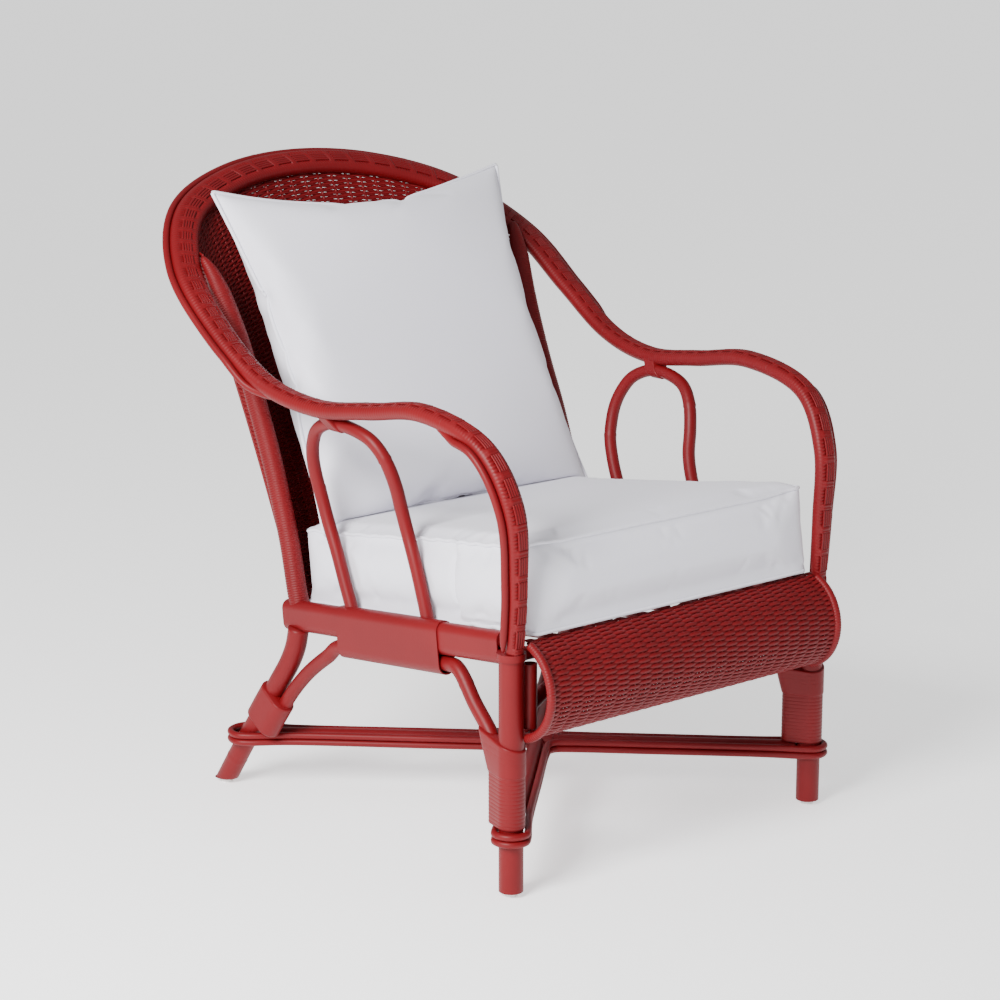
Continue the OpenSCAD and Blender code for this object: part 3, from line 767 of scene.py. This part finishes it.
def panel_parts():
    """Plain weave: flat strands that pass before and behind upright stakes, and end on the back posts."""
    parts = []
    u = np.linspace(-1, 1, PANEL_STAKES * STEPS_PER_STAKE + 1)
    angle = np.linspace(0, 2 * np.pi, 6, endpoint=False)
    cosine, sine = np.cos(angle)[None, :, None], np.sin(angle)[None, :, None]
    thick, wide = PANEL_STRAND
    rng = np.random.default_rng(21)
    post = at(BACK_POST, np.linspace(0, len(BACK_POST) - 1, 300))
    up_panel = np.cross(PANEL_NORMAL, [1.0, 0, 0])
    for row in range(PANEL_ROWS + 1):
        v = np.full_like(u, row / PANEL_ROWS)
        centres = panel_point(u, v)
        over = np.cos(np.pi * (u + 1) / 2 * PANEL_STAKES + np.pi * row)
        centres = centres + (PANEL_WAVE * over)[:, None] * PANEL_NORMAL
        centres[:, 2] += rng.normal(0, 0.12)
        # The ends turn forward and lie against the posts.
        end = centres[0]
        height = min(end[2] - 4, post[-1, 2])
        seat_on = np.array([np.interp(height, post[:, 2], post[:, k]) for k in range(3)]) + POST_SIDE
        lead = np.array([end + (seat_on - end) * ease(k / 5.0) for k in (5, 4, 3, 2, 1)])
        centres = np.vstack([lead, centres, lead[::-1] * [-1, 1, 1]])
        direction = headings(centres)
        across = unit(up_panel - (direction @ up_panel)[:, None] * direction)
        through = np.cross(direction, across)
        ring = thick * cosine * through[:, None] + wide * sine * across[:, None]
        parts.append(grid((centres[:, None] + ring)[:, ::-1]))
    for stake in range(PANEL_STAKES + 1):
        v = np.linspace(0, 1, 60)
        centres = panel_point(np.full_like(v, -1 + 2 * stake / PANEL_STAKES), v)
        parts.append(grid(rings_round(centres, headings(centres), PANEL_NORMAL, STAKE_R, 8)))
    return parts


build("woven_back", panel_parts(), PAINT_WOVEN_SHADED, nodes=["back_panel"])

# --- woven apron ------------------------------------------
APRON_AXIS = (-363.5, 290.5)
APRON_R = 68.2
APRON_FROM, APRON_TO = math.radians(101.5), math.radians(260)
APRON_HALF = 267.0
APRON_PITCH = 3.65
APRON_WAVE = 1.55
APRON_STRAND = (1.75, 2.65)
APRON_STAKE_R = 1.7
BORDER_R = 69.0
BORDER_X = 272.8
BORDER_FROM, BORDER_TO = math.radians(112), math.radians(254)
BORDER_ROLL_R = 6.3


def apron_place(x, angle, radius):
    x, angle, radius = np.broadcast_arrays(x, angle, radius)
    return np.stack([x, APRON_AXIS[0] + radius * np.cos(angle), APRON_AXIS[1] + radius * np.sin(angle)], -1)


def apron_parts():
    """Half roll of plain weave, with stakes that follow its curve."""
    parts = []
    rows = int(round(APRON_R * (APRON_TO - APRON_FROM) / APRON_PITCH))
    stakes = int(round(2 * APRON_HALF / STAKE_GAP))
    x = np.linspace(-APRON_HALF - 3, APRON_HALF + 3, stakes * 8 + 1)
    ring_angle = np.linspace(0, 2 * np.pi, 8, endpoint=False)
    cosine, sine = np.cos(ring_angle)[None, :, None], np.sin(ring_angle)[None, :, None]
    thick, wide = APRON_STRAND
    rng = np.random.default_rng(5)
    for row in range(rows + 1):
        a = APRON_FROM + (APRON_TO - APRON_FROM) * row / rows
        wave = np.cos(np.pi * (x + APRON_HALF) / (2 * APRON_HALF) * stakes + np.pi * row)
        over = np.sign(wave) * np.abs(wave) ** 0.8
        centres = apron_place(x, np.full_like(x, a), APRON_R + APRON_WAVE * over + rng.normal(0, 0.08))
        normal = np.array([0, math.cos(a), math.sin(a)])
        across = np.cross(headings(centres), normal)
        swell = 1 + 0.12 * over
        ring = thick * cosine * normal + (wide * swell)[:, None, None] * sine * across[:, None]
        parts.append(grid(centres[:, None] + ring))
    for stake in range(stakes + 1):
        a = np.linspace(APRON_FROM, APRON_TO, 40)
        x = np.full_like(a, -APRON_HALF + 2 * APRON_HALF * stake / stakes)
        centres = apron_place(x, a, np.full_like(a, APRON_R))
        parts.append(grid(rings_round(centres, headings(centres), (1, 0, 0), APRON_STAKE_R, 8)))
    return parts


build("woven_apron", apron_parts(), PAINT_WOVEN_SHADED, nodes=["apron_skin"])


def border_part():
    """Thick end roll of the apron, wound with cane."""
    a = np.linspace(BORDER_FROM, BORDER_TO, 700)
    centres = apron_place(np.full_like(a, -BORDER_X), a, np.full_like(a, BORDER_R))
    along = BORDER_R * (a - a[0])
    radius = BORDER_ROLL_R - 0.35 * groove(along / 3.9, 0.2) - 0.3 * groove(along / 37.0, 0.02)
    return grid(rings_round(centres, headings(centres), (1, 0, 0), radius, 20))


border = border_part()
build("apron_border", [border, mirrored(border)], PAINT, nodes=["apron_border_poles"])


# --- cane bindings ----------------------------------------
def outline_round(circles, count):
    """Places round the tight outline of some circles, at even distances, and their outward directions."""
    a = np.linspace(0, 2 * np.pi, 1440, endpoint=False)
    n = np.stack([np.cos(a), np.sin(a)], -1)
    reach = np.stack([n @ np.array(c[:2]) + c[2] for c in circles], -1)
    best = reach.argmax(1)
    centres = np.array([c[:2] for c in circles])[best]
    places = centres + n * np.array([c[2] for c in circles])[best][:, None]
    closed = np.vstack([places, places[:1]])
    along = np.concatenate([[0], np.cumsum(np.linalg.norm(np.diff(closed, axis=0), axis=1))])
    wanted = np.linspace(0, along[-1], count, endpoint=False)
    closed_n = np.vstack([n, n[:1]])
    pick = [np.interp(wanted, along, closed[:, k]) for k in (0, 1)]
    normal = unit(np.stack([np.interp(wanted, along, closed_n[:, k]) for k in (0, 1)], -1))
    return np.stack(pick, -1), normal


BRACE_TURN = math.radians(46)
WRAP_FOOT, WRAP_MIDDLE, WRAP_TOP = 98.2, 172.0, 216.0
WRAP_SPREAD = 21.0
WRAP_PITCH = 5.4
WRAP_SIDES = 64


def leg_bundle(cover, spread):
    """Circles round the leg, the side brace and the front brace, where the braces stand spread mm apart."""
    front = BRACE_GAP + 0.55 * spread
    return [
        (0, 0, LEG_D / 2 + cover),
        (0, BRACE_GAP + spread, BRACE_D / 2 + cover),
        (front * math.cos(BRACE_TURN), front * math.sin(BRACE_TURN), BRACE_D / 2 + cover),
    ]


def front_leg_wrap_parts():
    """Fine turns of cane round the leg and both braces, and above them a sleeve with a slanting edge."""
    parts = []
    rings = []
    for z in np.arange(WRAP_FOOT, WRAP_MIDDLE, 0.8):
        places, normal = outline_round(leg_bundle(2.4, 0), WRAP_SIDES)
        turns = np.full(WRAP_SIDES, (z - WRAP_FOOT) / WRAP_PITCH)
        lift = -0.5 * groove(turns + 0.004 * places[:, 1], 0.13)
        out = places + normal * lift[:, None]
        rings.append(np.column_stack([out, np.full(WRAP_SIDES, z)]))
    parts.append(np.array(rings))
    rings = []
    for share in np.linspace(0, 1, 44):
        z = WRAP_MIDDLE - 1 + share * (WRAP_TOP - WRAP_MIDDLE + 1)
        spread = WRAP_SPREAD * (z - WRAP_MIDDLE + 1) / (WRAP_TOP - WRAP_MIDDLE + 1)
        places, normal = outline_round(leg_bundle(3.2, spread), WRAP_SIDES)
        edge = 1 - np.clip(min(share, 1 - share) / 0.05, 0, 1)
        lift = -1.2 * edge**2 - 0.45 * groove(share * 6.0 + 0.012 * places[:, 1], 0.03) * (share > 0.5)
        out = places + normal * np.broadcast_to(lift, WRAP_SIDES)[:, None]
        slant = share * (0.22 * (places[:, 1] - 8) - 0.16 * places[:, 0])
        rings.append(np.column_stack([out, z + slant]))
    parts.append(np.array(rings))
    offset = np.array([-LEG_X, -LEG_FRONT, 0])
    return [grid(r + offset) for r in parts]


build_both("front_leg_wrap", front_leg_wrap_parts(), PAINT, ["front_leg_wrap"])

WRAP_SPINE = [[-306, 186, 111], [-303, 170, 136], [-300, 154, 160]]
REAR_WRAP_STEPS = 60
REAR_WRAP_CIRCLES = [(-13.5, 0, 18.5), (13.5, 0, 18.5)]


def rear_leg_wrap_part():
    """Smooth sleeve round the rear leg and the rear end of the side brace."""
    centres = at(WRAP_SPINE, np.linspace(0, 2, REAR_WRAP_STEPS))
    direction = headings(centres)
    x = unit(np.cross(direction, [1.0, 0, 0]))
    y = np.cross(x, direction)
    places, normal = outline_round(REAR_WRAP_CIRCLES, 48)
    number = np.arange(REAR_WRAP_STEPS)
    ends = np.minimum(number, number[::-1]) / 3.0
    lift = -1.3 * np.clip(1 - ends, 0, 1) ** 2
    out = places[None] + normal[None] * lift[:, None, None]
    rings = centres[:, None] + out[..., :1] * x[:, None] + out[..., 1:] * y[:, None]
    return grid(rings[:, ::-1])


build_both("rear_leg_wrap", [rear_leg_wrap_part()], PAINT, ["rear_leg_wrap"])

TIE_Y = 0.0
TIE_WIDTH = 23.0
TIE_SLANT = 0.7
TIE_COVER = 1.5
TIE_IN_ARM_R = 9.6
CROWN_T = 9.3
ARM_T = 5.83


def loop_tie_part():
    """Smooth strap that holds the crown of the arm loop up to the arm, and ends inside the arm's turns."""
    crown = at(LOOP, CROWN_T)[0]
    arm = band_place(np.array([ARM_T]), [0.0], [0.0])[0]
    circles = [
        (crown[0], crown[2], LOOP_D / 2 + TIE_COVER),
        (arm[0] - 4.5, arm[2], TIE_IN_ARM_R),
        (arm[0] + 4.5, arm[2], TIE_IN_ARM_R),
    ]
    rings = []
    for share in np.linspace(0, 1, 24):
        places, normal = outline_round(circles, 48)
        edge = 1 - np.clip(min(share, 1 - share) / 0.08, 0, 1)
        out = places - 1.3 * edge**2 * normal
        y = TIE_Y + TIE_WIDTH * (share - 0.5) + TIE_SLANT * (places[:, 1] - (crown[2] + arm[2]) / 2)
        rings.append(np.column_stack([out[:, 0], y, out[:, 1]]))
    return grid(np.array(rings)[:, ::-1])


build_both("loop_tie", [loop_tie_part()], PAINT, ["loop_binding"])

# --- seat cushion -----------------------------------------
CLOTH_FRAMES = 20
PIPING_R = 2.7


def copy_of(node, name):
    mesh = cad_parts[node].data.copy()
    mesh.name = name
    obj = bpy.data.objects.new(name, mesh)
    bpy.context.scene.collection.objects.link(obj)
    return obj


def apply_all(obj):
    """Replaces the object's mesh by what its modifiers make of it."""
    graph = bpy.context.evaluated_depsgraph_get()
    mesh = bpy.data.meshes.new_from_object(obj.evaluated_get(graph))
    obj.modifiers.clear()
    obj.data = mesh


def coords(obj):
    co = np.empty(len(obj.data.vertices) * 3, np.float32)
    obj.data.vertices.foreach_get("co", co)
    return co.reshape(-1, 3).astype(float)


def set_coords(obj, co):
    obj.data.vertices.foreach_set("co", co.astype(np.float32).ravel())
    obj.data.update()


def inflate(obj, pressure, stiffness, frames=CLOTH_FRAMES, half_thickness=None):
    """Blows the closed mesh up as cloth, stops early at the half thickness given, and returns the points."""
    cloth = obj.modifiers.new("cloth", "CLOTH")
    settings = cloth.settings
    settings.quality = 6
    settings.mass = 0.25
    settings.tension_stiffness = stiffness
    settings.compression_stiffness = stiffness
    settings.shear_stiffness = stiffness / 3
    settings.bending_stiffness = 0.4
    settings.air_damping = 3
    settings.use_pressure = True
    settings.uniform_pressure_force = pressure
    settings.effector_weights.gravity = 0
    cloth.point_cache.frame_start = 1
    cloth.point_cache.frame_end = frames
    scene = bpy.context.scene
    for f in range(1, frames + 1):
        scene.frame_set(f)
        graph = bpy.context.evaluated_depsgraph_get()
        moved = obj.evaluated_get(graph).to_mesh()
        co = np.empty(len(moved.vertices) * 3, np.float32)
        moved.vertices.foreach_get("co", co)
        if half_thickness and np.abs(co[1::3]).max() > half_thickness:
            break
    obj.modifiers.clear()
    scene.frame_set(1)
    return co.reshape(-1, 3).astype(float)


def capped(before, after, limit):
    """Points moved no farther than limit."""
    move = after - before
    size = np.linalg.norm(move, axis=1, keepdims=True)
    return before + move * np.minimum(1, limit / np.maximum(size, 1e-9))


SEAT_Y = -386.0
SEAT_DEPTH = 526.0
SEAT_THICK = 131.0
SEAT_FALL = 16.0
SEAT_HALF = 262.0
SEAT_FRONT_HALF = 272.0
SEAT_FRONT_ROOM = 164.0
SEAT_LIFT = 12.3
TILT = math.atan(RAIL_SLOPE)


def seat_to_world(p):
    """From the cushion's own axes (across, back, up) to the chair's, in millimetres."""
    p = np.asarray(p, float)
    c, s = math.cos(TILT), math.sin(TILT)
    y = SEAT_Y + p[..., 1] * c - p[..., 2] * s
    z = rail_z(SEAT_Y) + SEAT_LIFT + p[..., 1] * s + p[..., 2] * c
    return np.stack([p[..., 0], y, z], -1)


def world_to_seat(p):
    c, s = math.cos(TILT), math.sin(TILT)
    y, z = p[..., 1] - SEAT_Y, p[..., 2] - rail_z(SEAT_Y) - SEAT_LIFT
    return np.stack([p[..., 0], y * c + z * s, -y * s + z * c], -1)


def leg_of_loop(z):
    """Where the two legs of an arm loop are, front to back, at each height."""
    fine = at(LOOP, np.linspace(0, len(LOOP) - 1, 400))
    rear, front = fine[:200], fine[200:]
    return np.interp(z, front[::-1, 2], front[::-1, 1]), np.interp(z, rear[:, 2], rear[:, 1])


def shape_seat(before, after):
    """Keeps the blown-up seat cushion in its room: flat below, crowned on top, dented by the arm loops."""
    low = world_to_seat(before / MM - ORIGIN)
    p = world_to_seat(after / MM - ORIGIN)
    top = SEAT_THICK - SEAT_FALL * np.clip(p[:, 1], 0, SEAT_DEPTH) / SEAT_DEPTH
    p = low + (p - low) * ease((low[:, 2] - 4) / 22)[:, None]
    p[:, 2] = np.clip(p[:, 2], 0.3, None)
    p[:, 2] = np.where(p[:, 2] > top, top + (p[:, 2] - top) * 0.8, p[:, 2])
    p[:, 1] = np.clip(p[:, 1], -6.0, SEAT_DEPTH + 3)
    world = seat_to_world(p)
    front_leg, rear_leg = leg_of_loop(world[:, 2])
    near = np.minimum(np.abs(world[:, 1] - front_leg), np.abs(world[:, 1] - rear_leg))
    open_room = ease((near - 6) / 30)
    loops_from = np.minimum(front_leg, rear_leg) - 40
    in_front = ease((loops_from - world[:, 1]) / 30)
    limit = SEAT_HALF - 1.0 + 7.0 * open_room + (SEAT_FRONT_HALF + 3 - SEAT_HALF - 6) * in_front
    world[:, 0] = np.clip(world[:, 0], -limit, limit)
    return (world + ORIGIN) * MM


SEAT_VOXEL = 0.0055
SEAT_SWELL = 0.010


def make_seat():
    """The foam's shape, blown up a little as a cloth cover and then brought back to its room."""
    seat = copy_of("seat_cushion_foam", "seat_cushion")
    remesh = seat.modifiers.new("remesh", "REMESH")
    remesh.mode = "VOXEL"
    remesh.voxel_size = SEAT_VOXEL
    apply_all(seat)
    before = coords(seat)
    after = inflate(seat, 5.0, 12.0)
    set_coords(seat, shape_seat(before, capped(before, after, SEAT_SWELL)))
    relax = seat.modifiers.new("relax", "SMOOTH")
    relax.factor = 0.4
    relax.iterations = 1
    finer = seat.modifiers.new("finer", "SUBSURF")
    finer.levels = 1
    apply_all(seat)
    return seat


def tree_of(obj):
    mesh = obj.data
    return BVHTree.FromPolygons([v.co for v in mesh.vertices], [tuple(p.vertices) for p in mesh.polygons])


def piping(route, r=PIPING_R):
    """Covered cord along a closed route of places in metres."""
    centres = np.asarray(route) / MM - ORIGIN
    closed = np.vstack([centres, centres[:1]])
    along = np.concatenate([[0], np.cumsum(np.linalg.norm(np.diff(closed, axis=0), axis=1))])
    wanted = np.arange(0, along[-1], 3.0)
    even = np.stack([np.interp(wanted, along, closed[:, k]) for k in range(3)], -1)
    for _ in range(2):
        even = 0.5 * even + 0.25 * (np.roll(even, 1, 0) + np.roll(even, -1, 0))
    direction = headings(even, True)
    up = np.where(np.abs(direction[:, 2:]) > 0.8, [[0.0, 1.0, 0.0]], [[0.0, 0.0, 1.0]])
    return grid(rings_round(even, direction, up, r, 10), loop=True)


def rounded_corners(corners, r):
    """Closed outline through some corners, each turned with an arc of radius r."""
    out = []
    n = len(corners)
    for k in range(n):
        p, a, b = (np.array(corners[i % n], float) for i in (k, k - 1, k + 1))
        da, db = unit(a - p), unit(b - p)
        reach = min(r, 0.45 * np.linalg.norm(a - p), 0.45 * np.linalg.norm(b - p))
        for u in np.linspace(0, 1, 9):
            q = (1 - u) ** 2 * (p + da * reach) + 2 * u * (1 - u) * p + u**2 * (p + db * reach)
            out.append(q)
    dense = []
    for a, b in zip(out, out[1:] + out[:1]):
        steps = max(int(np.linalg.norm(b - a) / 6), 1)
        dense += [a + (b - a) * i / steps for i in range(steps)]
    return np.array(dense)


def seat_piping(seat, height_of, inset):
    """Route round the cushion's sides at a height, drawn onto its surface."""
    step_y = SEAT_FRONT_ROOM - 8
    plan = [
        (-SEAT_FRONT_HALF, 0),
        (SEAT_FRONT_HALF, 0),
        (SEAT_FRONT_HALF, step_y),
        (SEAT_HALF, step_y + 22),
        (SEAT_HALF, SEAT_DEPTH),
        (-SEAT_HALF, SEAT_DEPTH),
        (-SEAT_HALF, step_y + 22),
        (-SEAT_FRONT_HALF, step_y),
    ]
    outline = rounded_corners(plan, 18)
    tree = tree_of(seat)
    route = []
    for x, y in outline:
        aim = seat_to_world([x * 1.02, y + (4 if y > 400 else -4 if y < 60 else 0), height_of(y)])
        found = tree.find_nearest(Vector((aim + ORIGIN) * MM))
        route.append(np.array(found[0] + found[1] * inset * MM))
    return route


seat = make_seat()
seat_mesh = seat.data
seat_tree = tree_of(seat)
top_route = seat_piping(seat, lambda y: SEAT_THICK + 6 - SEAT_FALL * y / SEAT_DEPTH, 0.9)
low_route = seat_piping(seat, lambda y: 3.0, 0.7)
bpy.data.objects.remove(seat)
seat_mesh.shade_smooth()
seat_nodes = ["seat_cushion_cover", "seat_cushion_foam"]
seat = place_mesh("seat_cushion", seat_mesh, CLOTH, "seat_cushion", seat_nodes)
seat_cords = [piping(top_route), piping(low_route)]
build("seat_cushion_piping", seat_cords, CLOTH, body="seat_cushion")

# --- back pillow ------------------------------------------
PILLOW_FOOT = (75.0, 436.0)
PILLOW_LEAN = math.radians(27.2)
PILLOW_CELLS = 62
PILLOW_CLOTH = (560.0, 550.0)
SEAM_DEPTH = 26.0
PILLOW_MIDDLE = 254.0
PILLOW_FRONT, PILLOW_BACK = 0.86, 1.16
PILLOW_FOOT_SQUEEZE = 0.94
PILLOW_HALF = 60
PILLOW_PIPING_R = 2.9
SIDE_PULL = 0.045
TOP_PULL = 14.0
FOOT_SAG = 14.0


def pillow_to_world(p):
    """From the pillow's own axes (across, back, up along its slope) to the chair's, in millimetres."""
    c, s = math.cos(PILLOW_LEAN), math.sin(PILLOW_LEAN)
    y = PILLOW_FOOT[0] + p[:, 1] * c + p[:, 2] * s
    z = PILLOW_FOOT[1] - p[:, 1] * s + p[:, 2] * c
    return np.stack([p[:, 0], y, z], -1)


def pillow_sheets():
    """Two square sheets joined along their edges, slightly apart, with the edge points in order."""
    n = PILLOW_CELLS
    u = np.linspace(-1, 1, n + 1)
    x, z = np.meshgrid(u, u, indexing="ij")
    puff = 12 * (1 - x**4) * (1 - z**4)
    layers = []
    number = -np.ones((2, n + 1, n + 1), int)
    for layer, sign in enumerate((-1, 1)):
        for i in range(n + 1):
            for j in range(n + 1):
                rim = i in (0, n) or j in (0, n)
                if layer and rim:
                    number[1, i, j] = number[0, i, j]
                    continue
                number[layer, i, j] = len(layers)
                apart = 0 if rim else sign * puff[i, j]
                layers.append((x[i, j] * PILLOW_CLOTH[0] / 2, apart, z[i, j] * PILLOW_CLOTH[1] / 2))
    faces = []
    for layer in (0, 1):
        for i in range(n):
            for j in range(n):
                quad = [number[layer, a, b] for a, b in ((i, j), (i + 1, j), (i + 1, j + 1), (i, j + 1))]
                faces.append(quad if layer == 0 else quad[::-1])
    rim = [(i, 0) for i in range(n)] + [(n, j) for j in range(n)]
    rim += [(i, n) for i in range(n, 0, -1)] + [(0, j) for j in range(n, 0, -1)]
    return np.array(layers, float), faces, [int(number[0, i, j]) for i, j in rim]


def pushed_out(points, tree, gap, reach=0.08):
    """Points that are inside a closed mesh are moved to its surface."""
    out = points.copy()
    for k, p in enumerate(points):
        place, normal, _, distance = tree.find_nearest(Vector(p), reach)
        if place is None:
            continue
        if (Vector(p) - place).dot(normal) < gap:
            out[k] = np.array(place + normal * gap)
    return out


def make_pillow():
    """Two sheets blown up between their seams and slumped into the chair. Returns the mesh and the seam."""
    start, faces, rim = pillow_sheets()
    mesh = bpy.data.meshes.new("pillow_start")
    mesh.from_pydata((start * MM).tolist(), [], faces)
    pillow = bpy.data.objects.new("pillow_start", mesh)
    bpy.context.scene.collection.objects.link(pillow)
    blown = inflate(pillow, 3.0, 12.0, frames=40, half_thickness=0.064) / MM
    u, w = start[:, 0] / PILLOW_CLOTH[0] * 2, start[:, 2] / PILLOW_CLOTH[1] * 2
    y = blown[:, 1]
    half = max(np.abs(y).max(), 1)
    y = y * min(1, PILLOW_HALF / half)
    blown[:, 1] = SEAM_DEPTH + np.where(y < 0, y * PILLOW_FRONT, y * PILLOW_BACK)
    blown[:, 2] += PILLOW_MIDDLE
    blown[:, 0] *= 1 - SIDE_PULL * (1 - w**2)
    blown[:, 2] -= TOP_PULL * (1 - u**2) * ease(w)
    blown[:, 2] -= FOOT_SAG * (1 - u**2) * ease(-w)
    low = ease((160 - blown[:, 2]) / 200)
    blown[:, 0] *= 1 - (1 - PILLOW_FOOT_SQUEEZE) * low
    world = (pillow_to_world(blown) + ORIGIN) * MM
    world = pushed_out(world, seat_tree, 0.0012)
    panel_tree = tree_of(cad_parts["back_panel"])
    world = pushed_out(world, panel_tree, 0.004, 0.03)
    set_coords(pillow, world)
    relax = pillow.modifiers.new("relax", "SMOOTH")
    relax.factor = 0.3
    relax.iterations = 1
    finer = pillow.modifiers.new("finer", "SUBSURF")
    finer.levels = 1
    apply_all(pillow)
    mesh = pillow.data
    bpy.data.objects.remove(pillow)
    mesh.shade_smooth()
    return mesh, world[rim]


pillow_mesh, pillow_rim = make_pillow()
pillow_nodes = ["back_pillow_cover", "back_pillow_filling"]
pillow = place_mesh("back_pillow", pillow_mesh, CLOTH, "back_pillow", pillow_nodes)
pillow_cord = piping(pillow_rim, PILLOW_PIPING_R)
build("back_pillow_piping", [pillow_cord], CLOTH, body="back_pillow")

# --- finish of the CAD pieces that show -------------------
for node_name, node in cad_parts.items():
    if node.hide_render:
        continue
    node.data.materials.clear()
    node.data.materials.append(NYLON if node_name == "leg_glides" else PAINT)

# --- floor, backdrop and light ----------------------------
FLOOR_HALF = 30.0
FLOOR_GLOW = 0.9
WORLD_STRENGTH = 0.5
KEY_PLACE, KEY_AIM = (-2.6, -0.9, 2.0), (0, 0, 0.45)
KEY_SIZE, KEY_WATTS = 1.2, 205

floor_mesh = bpy.data.meshes.new("floor")
floor_corners = [(x * FLOOR_HALF, y * FLOOR_HALF, 0) for x, y in ((-1, -1), (1, -1), (1, 1), (-1, 1))]
floor_mesh.from_pydata(floor_corners, [], [(0, 1, 2, 3)])
floor_material, _, floor_shader = new_material("pale_floor", (0.93, 0.93, 0.93), 0.9, 0.1)
floor_shader.inputs["Emission Color"].default_value = (1, 1, 1, 1)
floor_shader.inputs["Emission Strength"].default_value = FLOOR_GLOW
floor_mesh.materials.append(floor_material)
floor = bpy.data.objects.new("floor", floor_mesh)
bpy.context.scene.collection.objects.link(floor)

world = bpy.data.worlds.new("studio")
world.use_nodes = True
world.node_tree.nodes["Background"].inputs["Color"].default_value = (1, 1, 1, 1)
world.node_tree.nodes["Background"].inputs["Strength"].default_value = WORLD_STRENGTH
bpy.context.scene.world = world


def area_light(name, place, aim, size, watts):
    light = bpy.data.lights.new(name, "AREA")
    light.size = size
    light.energy = watts
    obj = bpy.data.objects.new(name, light)
    obj.location = place
    obj.rotation_euler = (Vector(aim) - Vector(place)).to_track_quat("-Z", "Y").to_euler()
    bpy.context.scene.collection.objects.link(obj)
    return obj


area_light("key", KEY_PLACE, KEY_AIM, KEY_SIZE, KEY_WATTS)
